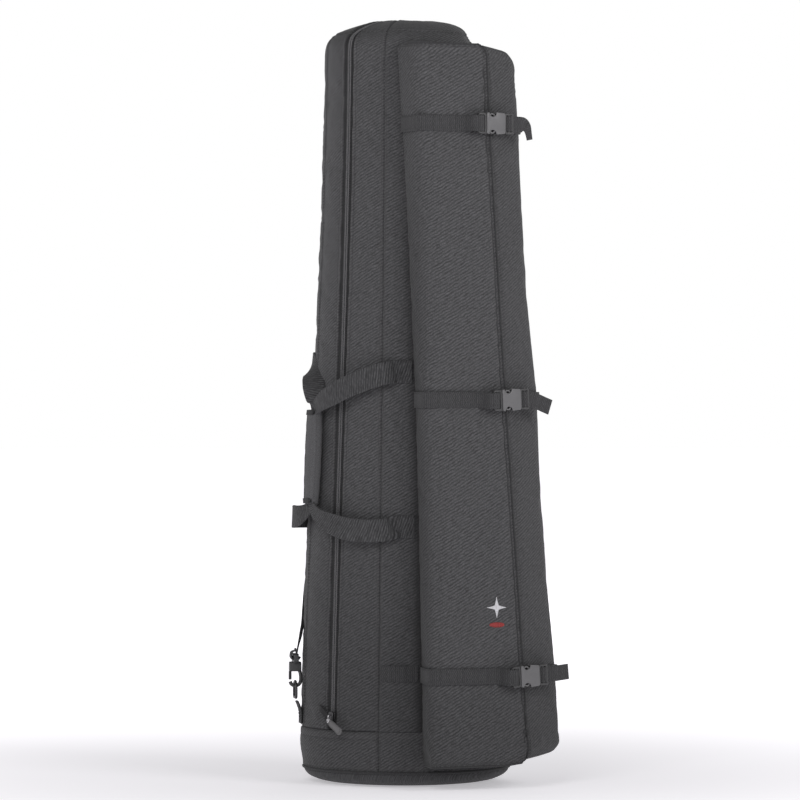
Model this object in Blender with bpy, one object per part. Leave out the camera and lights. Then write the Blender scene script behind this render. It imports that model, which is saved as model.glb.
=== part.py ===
"""Padded carry case for a long optical tube: a round tapered body that opens along a zip, with a flat-fronted
accessory case strapped to its front, a wrapped carry handle and a backpack harness.

Metres, +Z up. The origin is the middle of the base, on the floor. The accessory case faces -Y.
Round the body, an angle of 0 faces -Y and a positive angle turns towards +X."""

import math

import bmesh
import bpy
from mathutils import Vector

# Body
R_BASE = 0.1338
R_TOP = 0.1011
SHOULDER_Z = 0.925
CROWN_HEIGHT = 0.046
CROWN_EXPONENT = 2.7
BACK_DEPTH = 0.74  # depth of the flat back, as a share of the radius
BACK_SHARPNESS = 8
BASE_SEAM_Z = 0.018
CUP_SEAM_Z = 0.070
REST_RADIUS = 0.088
FABRIC = 0.004
FOAM = 0.009
GAP = 0.0004
COVER_GAP = 0.0006

# Angles round the body, in degrees
ZIP_ANGLE = -63.5
HINGE_ANGLE = 94.0
HARNESS_ANGLE = 101.0

# Accessory case
CASE_BOTTOM_Z = 0.029
CASE_TOP_Z = 0.933
CASE_LEFT_X = -0.0358
CASE_RIGHT_ANGLE = 52.0
CASE_CLEARANCE = 0.0026
CASE_WALL = 0.006
CASE_BACK = 0.004

# Straps and buckles
WEBBING = 0.0200
WEBBING_THICK = 0.0015
STRAP_LIFT = 0.0014
STRAP_HEIGHTS = {"top": 0.830, "middle": 0.484, "bottom": 0.141}
TAIL_DROPS = {"top": -0.012, "middle": -0.006, "bottom": 0.002}
BUCKLE_TURN = 10.0
BUCKLE_START = -0.0240
BUCKLE_LENGTH = 0.0515
BUCKLE_WIDTH = 0.0265
BUCKLE_THICK = 0.0090
SOCKET_LENGTH = 0.0385
LOOP_LENGTH = 0.0095
SLOT_START = 0.0022
SLOT_LENGTH = 0.0040
LADDER_STARTS = (0.0024, 0.0076)
LADDER_SLOT = 0.0030
PLATE_THICK = 0.0019
PRONG_LENGTH = 0.0200
PRONG_OFFSET = 0.0078

# Carry handle
HANDLE_WEB = 0.0280
HANDLE_THICK = 0.0020
GRIP_ANGLE = -81.0
GRIP_LIFT = 0.0125
GRIP_TOP_Z = 0.473
GRIP_BOTTOM_Z = 0.354

# Zip
TEETH_WIDTH = 0.0048
TEETH_THICK = 0.0014
SLIDER_Z = 0.0865
SLIDER_LIFT = 0.0042
SLIDER_TOP_Z = 0.860

# Harness
HOOK_Z = 0.132
HOOK_LIFT = 0.0105


def clear_scene():
    for thing in list(bpy.data.objects):
        bpy.data.objects.remove(thing, do_unlink=True)


def finish_of(name, colour, roughness, metallic=0.0):
    made = bpy.data.materials.new(name)
    made.use_nodes = True
    shader = made.node_tree.nodes["Principled BSDF"]
    shader.inputs["Base Color"].default_value = (*colour, 1.0)
    shader.inputs["Roughness"].default_value = roughness
    shader.inputs["Metallic"].default_value = metallic
    return made


FINISHES = {
    "polyester": ((0.080, 0.078, 0.080), 0.85, 0.0),
    "base_cloth": ((0.045, 0.045, 0.047), 0.80, 0.0),
    "webbing": ((0.050, 0.050, 0.050), 0.80, 0.0),
    "foam": ((0.120, 0.120, 0.125), 0.95, 0.0),
    "black_plastic": ((0.100, 0.102, 0.105), 0.42, 0.0),
    "zip_coil": ((0.030, 0.030, 0.032), 0.45, 0.0),
    "steel": ((0.550, 0.550, 0.560), 0.30, 1.0),
    "leather_pull": ((0.130, 0.128, 0.126), 0.60, 0.0),
}


def add_object(name, points, faces, finish, origin=(0, 0, 0)):
    """A mesh object with its faces pointing out, its own material, and its origin at the given place."""
    origin = Vector(origin)
    mesh = bpy.data.meshes.new(name)
    mesh.from_pydata([Vector(p) - origin for p in points], [], faces)
    thing = bpy.data.objects.new(name, mesh)
    thing.location = origin
    bpy.context.scene.collection.objects.link(thing)
    tidy_mesh(mesh)
    colour, roughness, metallic = FINISHES[finish]
    mesh.materials.append(finish_of(name + "_finish", colour, roughness, metallic))
    return thing


def tidy_mesh(mesh):
    work = bmesh.new()
    work.from_mesh(mesh)
    bmesh.ops.remove_doubles(work, verts=work.verts, dist=1e-6)
    bmesh.ops.dissolve_degenerate(work, dist=1e-7, edges=work.edges)
    bmesh.ops.recalc_face_normals(work, faces=work.faces)
    if work.calc_volume(signed=True) < 0:
        bmesh.ops.reverse_faces(work, faces=work.faces)
    work.to_mesh(mesh)
    work.free()
    mesh.shade_smooth()
    mesh.set_sharp_from_angle(angle=math.radians(35))


def add_boolean(thing, other, operation):
    """Cuts or joins another object, which is then only a hidden guide."""
    cut = thing.modifiers.new(operation.title(), "BOOLEAN")
    cut.object = other
    cut.operation = operation
    cut.solver = "EXACT"
    other.hide_render = True
    other.display_type = "WIRE"


# ---------------------------------------------------------------- the body's surface


def wall_radius(z):
    """Half-width of the body: half straight taper, half a soft S from the base to the shoulder."""
    share = min(max(z / 0.93, 0.0), 1.0)
    straight = 1.0 - share
    soft = (1.0 + math.cos(math.pi * share)) / 2.0
    return R_TOP + (R_BASE - R_TOP) * (straight + soft) / 2.0


def radius_at(angle, z):
    """Distance from the axis to the outside at an angle: a circle with a flattened back."""
    radius = wall_radius(z)
    facing_back = -math.cos(math.radians(angle))
    if facing_back <= 0.0:
        return radius
    flat = (facing_back / (BACK_DEPTH * radius)) ** BACK_SHARPNESS
    return (radius**-BACK_SHARPNESS + flat) ** (-1.0 / BACK_SHARPNESS)


def around(angle, radius, z):
    turn = math.radians(angle)
    return Vector((radius * math.sin(turn), -radius * math.cos(turn), z))


def surface_point(angle, z):
    return around(angle, radius_at(angle, z), z)


def surface_frame(angle, z):
    """(point, outward normal, level tangent towards +angle) of the body's outside."""
    point = surface_point(angle, z)
    level = (surface_point(angle + 0.5, z) - surface_point(angle - 0.5, z)).normalized()
    upward = (surface_point(angle, z + 0.002) - surface_point(angle, z - 0.002)).normalized()
    return point, level.cross(upward).normalized(), level


def crown_point(angle, rise, inset=0.0):
    """A point on the rounded crown: rise 0 is the shoulder and 90 the middle of the top."""
    shrink = math.cos(math.radians(rise)) ** (2.0 / CROWN_EXPONENT) if rise < 90 else 0.0
    lift = math.sin(math.radians(rise)) ** (2.0 / CROWN_EXPONENT)
    radius = (radius_at(angle, SHOULDER_Z) - inset) * shrink
    return around(angle, radius, SHOULDER_Z + (CROWN_HEIGHT - inset) * lift)


# ---------------------------------------------------------------- solids from stations


def between(low, high, count):
    return [low + (high - low) * i / (count - 1) for i in range(count)]


def double_skin(outer, inner, closed_round=False):
    """Points and faces of a wall between two grids of the same size, closed along its edges."""
    rows = len(outer)
    columns = len(outer[0])
    points = [p for grid in (outer, inner) for row in grid for p in row]
    half = rows * columns

    def at(side, row, column):
        return side * half + row * columns + column % columns

    def rim(here, there):
        return [at(0, *here), at(0, *there), at(1, *there), at(1, *here)]

    faces = []
    last = columns if closed_round else columns - 1
    for row in range(rows - 1):
        for column in range(last):
            ring = [(row, column), (row, column + 1), (row + 1, column + 1), (row + 1, column)]
            faces.append([at(0, r, c) for r, c in ring])
            faces.append([at(1, r, c) for r, c in reversed(ring)])
    for column in range(last):
        faces.append(rim((0, column), (0, column + 1)))
        faces.append(rim((rows - 1, column), (rows - 1, column + 1)))
    if not closed_round:
        for row in range(rows - 1):
            faces.append(rim((row, 0), (row + 1, 0)))
            faces.append(rim((row, columns - 1), (row + 1, columns - 1)))
    return points, faces


def lofted(rings):
    """Points and faces of a solid through closed rings of equal length, with flat ends."""
    count = len(rings[0])
    points = [p for ring in rings for p in ring]
    faces = [list(range(count)), [len(points) - count + i for i in range(count)]]
    for level in range(len(rings) - 1):
        for i in range(count):
            j = (i + 1) % count
            low = level * count
            faces.append([low + i, low + j, low + count + j, low + count + i])
    return points, faces


def ribbon(stations, thickness):
    """A flat band through (centre, normal, width) stations, its underside on the centres."""
    rings = []
    for i, (centre, normal, width) in enumerate(stations):
        before = stations[max(i - 1, 0)][0]
        after = stations[min(i + 1, len(stations) - 1)][0]
        side = normal.cross(after - before).normalized() * (width / 2)
        top = normal * thickness
        rings.append([centre - side, centre + side, centre + side + top, centre - side + top])
    return lofted(rings)


def tube(path, radius, sides=8, closed=False):
    """A round bar along a path of points, either closed on itself or with flat ends."""
    rings = []
    count = len(path)
    side = Vector((0.31, 0.87, 0.38))
    for i, centre in enumerate(path):
        before = path[i - 1] if closed or i else path[0]
        after = path[(i + 1) % count] if closed or i < count - 1 else path[-1]
        forward = (after - before).normalized()
        side = (side - forward * side.dot(forward)).normalized()
        other = forward.cross(side)
        turns = [2 * math.pi * k / sides for k in range(sides)]
        rings.append([centre + (side * math.cos(t) + other * math.sin(t)) * radius for t in turns])
    if not closed:
        return lofted(rings)
    points = [p for ring in rings for p in ring]
    faces = []
    offset = nearest_turn(rings[-1], rings[0])
    for i in range(count):
        follows = (i + 1) % count
        shift = offset if follows == 0 else 0
        for k in range(sides):
            a, b = k, (k + 1) % sides
            c, d = (b + shift) % sides, (a + shift) % sides
            faces.append([i * sides + a, i * sides + b, follows * sides + c, follows * sides + d])
    return points, faces


def nearest_turn(ring, target):
    """How many sides a closed tube's first ring is turned from its last one."""
    sides = len(ring)
    costs = [sum((ring[k] - target[(k + s) % sides]).length for k in range(sides)) for s in range(sides)]
    return costs.index(min(costs))


def smooth_stations(knots, steps):
    """Values between hand-set knots on a smooth curve through all of them."""
    result = []
    padded = [knots[0], *knots, knots[-1]]
    for i in range(len(knots) - 1):
        a, b, c, d = padded[i : i + 4]
        for step in range(steps):
            t = step / steps
            row = []
            for p, q, r, s in zip(a, b, c, d):
                bend = (2 * p - 5 * q + 4 * r - s) * t * t + (3 * q - p - 3 * r + s) * t**3
                row.append(0.5 * (2 * q + (r - p) * t + bend))
            result.append(row)
    result.append(list(knots[-1]))
    return result


def surface_band(knots, thickness, steps=4):
    """A ribbon over the body through (angle, z, lift, width) knots."""
    stations = []
    for angle, z, lift, width in smooth_stations(knots, steps):
        point, normal, _ = surface_frame(angle, z)
        stations.append((point + normal * lift, normal, width))
    return ribbon(stations, thickness)


def box_points(frame, low, high):
    """The corners and faces of a box between two corners given in a (place, x, y, z) frame."""
    place, along, out, up = frame
    points = []
    for x in (low[0], high[0]):
        for y in (low[1], high[1]):
            for z in (low[2], high[2]):
                points.append(place + along * x + out * y + up * z)
    faces = [[0, 1, 3, 2], [4, 6, 7, 5], [0, 4, 5, 1], [2, 3, 7, 6], [0, 2, 6, 4], [1, 5, 7, 3]]
    return points, faces


# ---------------------------------------------------------------- body shells


def shell_grid(angles, inset, first_z):
    heights = between(first_z, SHOULDER_Z, 8)
    rows = [[around(a, radius_at(a, z) - inset, z) for a in angles] for z in heights]
    for rise in (20, 38, 54, 68, 80, 90):
        rows.append([crown_point(a, rise, inset) for a in angles])
    return rows


def moved(grid, offset):
    return [[p + offset for p in row] for row in grid]


def add_body_shells():
    """Back shell and front cover, each a skin with a foam liner, parted on the zip and the far seam."""
    back = between(HINGE_ANGLE, 360.0 + ZIP_ANGLE, 21)
    front = between(ZIP_ANGLE, HINGE_ANGLE, 17)
    first_z = CUP_SEAM_Z + GAP
    forward = Vector((0.0, -COVER_GAP, 0.0))
    for name, angles, offset in (("back_shell", back, Vector()), ("front_cover", front, forward)):
        skin = [moved(shell_grid(angles, inset, first_z), offset) for inset in (0.0, FABRIC)]
        add_object(name, *double_skin(*skin), "polyester")
        depths = (FABRIC + GAP, FABRIC + GAP + FOAM)
        foam = [moved(shell_grid(angles, inset, first_z), offset) for inset in depths]
        add_object(name + "_foam", *double_skin(*foam), "foam")


def add_base():
    """The rounded base, its foam floor, and the ring of cloth between the base seam and the shells."""
    angles = between(0.0, 360.0, 41)[:-1]
    wall = [BASE_SEAM_Z + GAP, CUP_SEAM_Z]
    rings = [[[around(a, radius_at(a, z) - d, z) for a in angles] for z in wall] for d in (0.0, FABRIC)]
    add_object("lower_cup", *double_skin(*rings, closed_round=True), "polyester")
    depths = (FABRIC + GAP, FABRIC + GAP + FOAM)
    rings = [[[around(a, radius_at(a, z) - d, z) for a in angles] for z in wall] for d in depths]
    add_object("lower_cup_foam", *double_skin(*rings, closed_round=True), "foam")

    outer = []
    inner = []
    for turn in (0, 22, 42, 60, 76, 90):
        drop = math.sin(math.radians(turn))
        reach = math.cos(math.radians(turn))
        shares = [radius_at(a, BASE_SEAM_Z) / R_BASE for a in angles]
        outer_radius = REST_RADIUS + (R_BASE - REST_RADIUS) * reach
        inner_radius = REST_RADIUS - FABRIC + (R_BASE - REST_RADIUS) * reach
        z = BASE_SEAM_Z * (1.0 - drop)
        inner_z = BASE_SEAM_Z - (BASE_SEAM_Z - FABRIC) * drop
        outer.append([around(a, outer_radius * s, z) for a, s in zip(angles, shares)])
        inner.append([around(a, inner_radius * s, inner_z) for a, s in zip(angles, shares)])
    outer.append([Vector((0, 0, 0))] * len(angles))
    inner.append([Vector((0, 0, FABRIC))] * len(angles))
    points, faces = double_skin(outer, inner, closed_round=True)
    pole_faces = [f for f in faces if len({tuple(points[i]) for i in f}) > 2]
    add_object("base_cap", points, pole_faces, "base_cloth")

    floor = []
    for z in (0.0045, 0.0165):
        floor.append([around(a, (REST_RADIUS - 0.004) * s, z) for a, s in zip(angles, shares)])
    add_object("base_foam", *lofted(floor), "foam")


# ---------------------------------------------------------------- accessory case


def case_thickness(z):
    return 0.065 - 0.0181 * z


def case_left_angle(z):
    return -10.6 - 14.0 * (z / 0.92) ** 2.5


def case_right_x(z):
    return 0.0549 + 0.0443 * (0.92 - z) - 0.003 * math.sin(math.pi * z / 0.95)


def case_outer_x(z):
    return 0.1129 + 0.0575 * (0.90 - z)


def case_corners(z, lift=0.0):
    """The five corners of the case's section: crease, front left, front right, outer right, right crease."""
    level = min(z, SHOULDER_Z)
    radius = wall_radius(level)
    back = radius + CASE_CLEARANCE + lift
    front = -(radius + case_thickness(z))
    outer = Vector((case_outer_x(z), -(radius + 0.008), 0))
    corners = [around(case_left_angle(z), back, 0), Vector((CASE_LEFT_X, front, 0))]
    corners += [Vector((case_right_x(z), front, 0)), outer, around(CASE_RIGHT_ANGLE, back, 0)]
    return [Vector((c.x, c.y, z)) for c in corners]


CORNER_RADII = (0.0, 0.013, 0.006, 0.016, 0.0)
CORNER_STEPS = 4


def offset_open(corners, distance):
    """The corners moved out by a distance, the path running anticlockwise seen from above."""
    result = []
    for i, corner in enumerate(corners):
        normals = []
        for a, b in ((i - 1, i), (i, i + 1)):
            if a >= 0 and b < len(corners):
                step = corners[b] - corners[a]
                normals.append(Vector((step.y, -step.x, 0)).normalized())
        mitre = sum(normals, Vector()).normalized()
        result.append(corner + mitre * (distance / max(mitre.dot(normals[0]), 0.3)))
    return result


def rounded(corners, radii):
    """The corners of an open path turned into short arcs, the same number of points whatever the shape."""
    result = []
    for i, corner in enumerate(corners):
        if radii[i] <= 0.0 or i in (0, len(corners) - 1):
            result.append(corner)
            continue
        back = (corners[i - 1] - corner).normalized()
        ahead = (corners[i + 1] - corner).normalized()
        half = math.acos(max(-1.0, min(1.0, back.dot(ahead)))) / 2
        reach = radii[i] / math.tan(half)
        start = corner + back * reach
        end = corner + ahead * reach
        for step in range(CORNER_STEPS + 1):
            t = step / CORNER_STEPS
            result.append(start * (1 - t) ** 2 + corner * 2 * t * (1 - t) + end * t * t)
    return result


def case_outline(z, distance=0.0, lift=0.0):
    corners = offset_open(case_corners(z, lift), distance) if distance else case_corners(z, lift)
    radii = [max(r + distance, 0.001) if r else 0.0 for r in CORNER_RADII]
    return rounded(corners, radii)


def case_levels():
    """The heights of the case's sections, between which its sides are straight."""
    inset = 0.006
    return [CASE_BOTTOM_Z + inset, 0.22, 0.40, 0.58, 0.76, CASE_TOP_Z - inset]


def case_side(z, distance):
    """The case's outline at any height, read between its sections, moved out by a distance."""
    levels = case_levels()
    low = max(i for i in range(len(levels) - 1) if levels[i] <= z)
    share = (z - levels[low]) / (levels[low + 1] - levels[low])
    lift = CASE_BACK + GAP
    below = case_outline(levels[low], 0.0, lift)
    above = case_outline(levels[low + 1], 0.0, lift)
    return offset_open([a.lerp(b, share) for a, b in zip(below, above)], distance)


def case_back(z, depth, count=7):
    """Points along the case's back from its right crease to its left one, following the body."""
    radius = wall_radius(min(z, SHOULDER_Z)) + CASE_CLEARANCE + depth
    angles = between(CASE_RIGHT_ANGLE, case_left_angle(z), count)
    return [around(a, radius, z) for a in angles]


def add_accessory_case():
    back_skin = CASE_BACK + GAP
    heights = case_levels()
    rings = []
    for z in heights:
        rings.append(case_outline(z, 0.0, back_skin) + case_back(z, back_skin)[1:-1])
    ends = []
    for z, level in ((heights[0], CASE_BOTTOM_Z), (heights[-1], CASE_TOP_Z)):
        ring = case_outline(z, -0.005, back_skin) + case_back(z, back_skin)[1:-1]
        ends.append([Vector((p.x, p.y, level)) for p in ring])
    shell = add_object("accessory_shell", *lofted([ends[0], *rings, ends[1]]), "polyester")

    hollow = []
    hollow_levels = [CASE_BOTTOM_Z + CASE_WALL, *heights[1:-1], CASE_TOP_Z - CASE_WALL]
    for z in hollow_levels:
        ring = case_outline(z, -CASE_WALL, back_skin)
        axis = Vector((0, 0, z))
        inward = [axis + (ring[-1] - axis) * 0.90, axis + (ring[0] - axis) * 0.90]
        hollow.append([*ring, *inward])
    cutter = add_object("accessory_hollow_cutter", *lofted(hollow), "foam")
    add_boolean(shell, cutter, "DIFFERENCE")

    panel = []
    for z in heights:
        outer = case_back(z, CASE_BACK)
        inner = case_back(z, 0.0)
        panel.append(outer + list(reversed(inner)))
    add_object("accessory_back_panel", *lofted(panel), "polyester")

    bead = []
    for z in between(CASE_BOTTOM_Z + 0.010, CASE_TOP_Z - 0.010, 12):
        corners = offset_open(case_corners(z), 0.0022)
        bead.append(Vector((corners[2].x, corners[2].y, z)))
    add_object("accessory_piping", *tube(bead, 0.0015, 6), "polyester")


# ---------------------------------------------------------------- straps across the case


def band_between(low, high, thickness):
    """A band whose lower and upper edges are given point by point, thick on its outer side."""
    rings = []
    count = len(low)
    for i in range(count):
        normals = []
        for edge in (low, high):
            step = edge[min(i + 1, count - 1)] - edge[max(i - 1, 0)]
            normals.append(Vector((step.y, -step.x, 0)).normalized() * thickness)
        rings.append([low[i], high[i], high[i] + normals[1], low[i] + normals[0]])
    return lofted(rings)


def buckle_frame(z):
    """(place, along, out, up) of a buckle: it lies across the case's front right corner."""
    corner = offset_open(case_corners(z), 0.0045)[2]
    turn = math.radians(BUCKLE_TURN)
    along = Vector((math.cos(turn), math.sin(turn), 0))
    out = Vector((math.sin(turn), -math.cos(turn), 0))
    return Vector((corner.x, corner.y, z)), along, out, Vector((0, 0, 1))


def local(frame, x, y, z=0.0):
    place, along, out, up = frame
    return place + along * x + out * y + up * z


def add_left_strap(name, z):
    """Webbing from the left crease, over the case's front, to the buckle's socket."""
    frame = buckle_frame(z)
    edges = []
    for level in (z - WEBBING / 2, z + WEBBING / 2):
        outline = case_side(level, STRAP_LIFT)
        first = outline[0] + (outline[1] - outline[0]) * 0.08
        points = [first, *outline[1 : CORNER_STEPS + 2]]
        landing = local(frame, BUCKLE_START - 0.012, 0.0, level - z)
        front_y = outline[CORNER_STEPS + 1].y
        points.append(Vector((landing.x, front_y, level)))
        points.append(local(frame, BUCKLE_START - 0.0008, 0.0030, level - z))
        edges.append(points)
    add_object(f"strap_left_{name}", *band_between(*edges, WEBBING_THICK), "webbing")


def add_right_strap(name, z):
    """Webbing from the buckle's plug, over the case's outer corner, to the body's far side."""
    frame = buckle_frame(z)
    end = BUCKLE_START + BUCKLE_LENGTH - 0.0035
    edges = []
    for level in (z - WEBBING / 2, z + WEBBING / 2):
        outline = case_side(level, STRAP_LIFT)
        corner = outline[2 * (CORNER_STEPS + 1) + 1 : -1]
        start = local(frame, end, -0.0024, level - z)
        final = outline[-1] + (outline[-2] - outline[-1]) * 0.08
        edges.append([start, *corner, final])
    add_object(f"strap_right_{name}", *band_between(*edges, WEBBING_THICK), "webbing")


def add_buckle(name, z):
    """Side-release buckle: a socket of two plates, and a plug with a guide, a ladder lock and two prongs."""
    frame = buckle_frame(z)
    half = BUCKLE_WIDTH / 2
    start = BUCKLE_START
    split = start + SOCKET_LENGTH
    end = start + BUCKLE_LENGTH
    slot_half = WEBBING / 2 + 0.0006
    middle = BUCKLE_THICK / 2
    cavity = (PLATE_THICK, BUCKLE_THICK - PLATE_THICK)

    socket = add_object(
        f"buckle_socket_{name}",
        *box_points(frame, (start, 0.0004, -half), (split, BUCKLE_THICK, half)),
        "black_plastic",
    )
    low = (start + LOOP_LENGTH, cavity[0], -half - 0.002)
    high = (split + 0.002, cavity[1], half + 0.002)
    pocket = add_object(f"pocket_cutter_{name}", *box_points(frame, low, high), "foam")
    add_boolean(socket, pocket, "DIFFERENCE")
    low = (start + SLOT_START, -0.002, -slot_half)
    high = (start + SLOT_START + SLOT_LENGTH, BUCKLE_THICK + 0.002, slot_half)
    slot = add_object(f"socket_slot_cutter_{name}", *box_points(frame, low, high), "foam")
    add_boolean(socket, slot, "DIFFERENCE")

    plug_start = split + GAP
    plug = add_object(
        f"buckle_plug_{name}",
        *box_points(frame, (plug_start, 0.0006, -half), (end, BUCKLE_THICK - 0.0006, half)),
        "black_plastic",
        local(frame, plug_start, middle),
    )
    low = (start + LOOP_LENGTH + 0.0030, cavity[0] + 0.0005, -0.0028)
    high = (plug_start + 0.0015, cavity[1] - 0.0005, 0.0028)
    guide = add_object(f"plug_guide_{name}", *box_points(frame, low, high), "foam")
    add_boolean(plug, guide, "UNION")
    for number, offset in enumerate(LADDER_STARTS):
        low = (plug_start + offset, -0.002, -slot_half)
        high = (plug_start + offset + LADDER_SLOT, BUCKLE_THICK + 0.002, slot_half)
        cutter = add_object(f"ladder_slot_{number}_{name}", *box_points(frame, low, high), "foam")
        add_boolean(plug, cutter, "DIFFERENCE")

    for side, sign in (("upper", 1.0), ("lower", -1.0)):
        root = plug_start - GAP
        tip = root - PRONG_LENGTH
        low_z, high_z = sorted((sign * (PRONG_OFFSET - 0.0018), sign * (PRONG_OFFSET + 0.0018)))
        low = (tip, cavity[0] + 0.0004, low_z)
        high = (root, cavity[1] - 0.0004, high_z)
        pivot = local(frame, root - 0.0010, middle, sign * PRONG_OFFSET)
        prong = add_object(f"prong_{side}_{name}", *box_points(frame, low, high), "black_plastic", pivot)
        ear_z = sorted((sign * PRONG_OFFSET, sign * (half - 0.0002)))
        ear_low = (tip + 0.0004, low[1] + 0.0003, ear_z[0])
        ear_high = (tip + 0.0085, high[1] - 0.0003, ear_z[1])
        ear = add_object(f"ear_{side}_{name}", *box_points(frame, ear_low, ear_high), "foam")
        add_boolean(prong, ear, "UNION")


def add_tail(name, z):
    """The loose end of the webbing beyond the plug, drooping a little."""
    frame = buckle_frame(z)
    start = BUCKLE_START + BUCKLE_LENGTH + 0.0020
    stations = []
    for share in between(0.0, 1.0, 6):
        lift = 0.0062 - 0.004 * share * share
        centre = local(frame, start + 0.027 * share, lift, TAIL_DROPS[name] * share**1.6)
        stations.append((centre, frame[2], WEBBING - 0.0004))
    add_object(f"strap_tail_{name}", *ribbon(stations, WEBBING_THICK), "webbing")


def add_straps():
    for name, z in STRAP_HEIGHTS.items():
        add_left_strap(name, z)
        add_buckle(name, z)
        add_right_strap(name, z)
        add_tail(name, z)


# ---------------------------------------------------------------- zip


def zip_path():
    """(place, outward normal, level direction towards the cover) along the parting line, over the crown."""
    rows = []
    for z in between(CUP_SEAM_Z + 0.006, SHOULDER_Z, 9):
        point, normal, level = surface_frame(ZIP_ANGLE, z)
        rows.append((point, normal, level))
    sides = ((ZIP_ANGLE, (20, 38, 54, 68, 80), 1.0), (HINGE_ANGLE, (80, 68, 54, 42), -1.0))
    for angle, rises, sign in sides:
        level = around(angle + 90.0, 1.0, 0.0) * sign
        for rise in rises:
            point = crown_point(angle, rise)
            ahead = crown_point(angle, min(rise + 3, 90)) - crown_point(angle, rise - 3)
            normal = level.cross(ahead * sign).normalized()
            rows.append((point, normal, level))
    return rows


def add_zip_teeth():
    for name, sign in (("zip_teeth_cover", 1.0), ("zip_teeth_shell", -1.0)):
        rings = []
        for point, normal, level in zip_path():
            near = point + level * sign * 0.0004 + normal * 0.0006
            far = near + level * sign * TEETH_WIDTH
            if sign > 0:
                near = near + Vector((0, -COVER_GAP, 0))
                far = far + Vector((0, -COVER_GAP, 0))
            rings.append([near, far, far + normal * TEETH_THICK, near + normal * TEETH_THICK])
        add_object(name, *lofted(rings), "zip_coil")


def slider_line():
    """(place at rest, direction up the zip, outward normal, level direction) of the slider's straight run."""
    low, normal, level = surface_frame(ZIP_ANGLE, SLIDER_Z)
    high = surface_point(ZIP_ANGLE, SLIDER_TOP_Z)
    up = (high - low).normalized()
    out = level.cross(up).normalized()
    return low + out * SLIDER_LIFT, up, out, level


def add_slider():
    place, up, out, level = slider_line()
    frame = (place, level, out, up)
    plate = box_points(frame, (-0.0042, 0.0, -0.0065), (0.0042, 0.0026, 0.0065))
    body = add_object("zip_slider", *plate, "steel", place)
    arch = [(-0.0050, 0.0022), (-0.0050, 0.0050), (0.0028, 0.0050), (0.0028, 0.0022)]
    bridge = tube([local(frame, 0.0, y, z) for z, y in arch], 0.0008, 6)
    add_boolean(body, add_object("slider_bridge_guide", *bridge, "foam"), "UNION")
    slant = math.radians(58.0)
    along = (up * -math.cos(slant) + level * math.sin(slant)).normalized()
    across = out.cross(along)
    pivot = place + out * 0.0068 - up * 0.0030
    pull_frame = (pivot, across, out, along)
    pull = box_points(pull_frame, (-0.0045, 0.0, 0.0012), (0.0045, 0.0022, 0.0300))
    add_object("zip_pull", *pull, "leather_pull", pivot)


# ---------------------------------------------------------------- carry handle


def add_handle():
    front_knots = [
        (-16.5, 0.521, 0.0010, HANDLE_WEB),
        (-27.0, 0.520, 0.0030, HANDLE_WEB),
        (-40.0, 0.511, 0.0110, HANDLE_WEB),
        (-54.0, 0.500, 0.0175, HANDLE_WEB),
        (-66.0, 0.491, 0.0185, HANDLE_WEB),
        (-77.0, 0.484, 0.0150, 0.0210),
        (GRIP_ANGLE, 0.472, 0.0132, 0.0140),
        (GRIP_ANGLE, 0.414, 0.0132, 0.0140),
        (GRIP_ANGLE, 0.356, 0.0132, 0.0140),
        (-77.0, 0.338, 0.0150, 0.0210),
        (-66.0, 0.332, 0.0185, HANDLE_WEB),
        (-54.0, 0.324, 0.0175, HANDLE_WEB),
        (-40.0, 0.322, 0.0110, HANDLE_WEB),
        (-27.0, 0.326, 0.0030, HANDLE_WEB),
        (-15.5, 0.328, 0.0010, HANDLE_WEB),
    ]
    rear_knots = [
        (-115.0, 0.534, 0.0012, HANDLE_WEB),
        (-108.0, 0.532, 0.0025, HANDLE_WEB),
        (-99.0, 0.522, 0.0090, HANDLE_WEB),
        (-88.0, 0.500, 0.0110, 0.0210),
        (GRIP_ANGLE, 0.474, 0.0100, 0.0140),
        (GRIP_ANGLE, 0.414, 0.0100, 0.0140),
        (GRIP_ANGLE, 0.354, 0.0100, 0.0140),
        (-88.0, 0.330, 0.0150, 0.0210),
        (-98.0, 0.319, 0.0200, HANDLE_WEB),
        (-107.0, 0.320, 0.0090, HANDLE_WEB),
        (-113.0, 0.324, 0.0014, HANDLE_WEB),
    ]
    points, faces = surface_band(front_knots, HANDLE_THICK, 3)
    add_object("handle_web_front", [p + Vector((0, -COVER_GAP, 0)) for p in points], faces, "webbing")
    add_object("handle_web_rear", *surface_band(rear_knots, HANDLE_THICK, 3), "webbing")

    profile = [(-13, -4.2), (9, -4.2), (9, 4.6), (-13, 4.6), (-13, 8.0), (-9, 9.4)]
    profile += [(9, 9.4), (13, 5.5), (13, -5.0), (9, -8.0), (-9, -8.0), (-13, -7.0)]
    rings = []
    for z in between(GRIP_BOTTOM_Z, GRIP_TOP_Z, 5):
        point, normal, level = surface_frame(GRIP_ANGLE, z)
        middle = point + normal * GRIP_LIFT + Vector((0, -COVER_GAP, 0))
        rings.append([middle + level * x * 0.001 + normal * y * 0.001 for x, y in profile])
    add_object("handle_wrap", *lofted(rings), "webbing")


# ---------------------------------------------------------------- backpack harness


def hook_frame(side):
    """(place, level direction, outward, up) where the harness clips to the body's edge."""
    point, normal, level = surface_frame(side * HARNESS_ANGLE, HOOK_Z)
    out = Vector((normal.x, normal.y, 0)).normalized()
    return point + out * HOOK_LIFT, Vector((out.y, -out.x, 0)) * -1.0, out, Vector((0, 0, 1))


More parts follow.
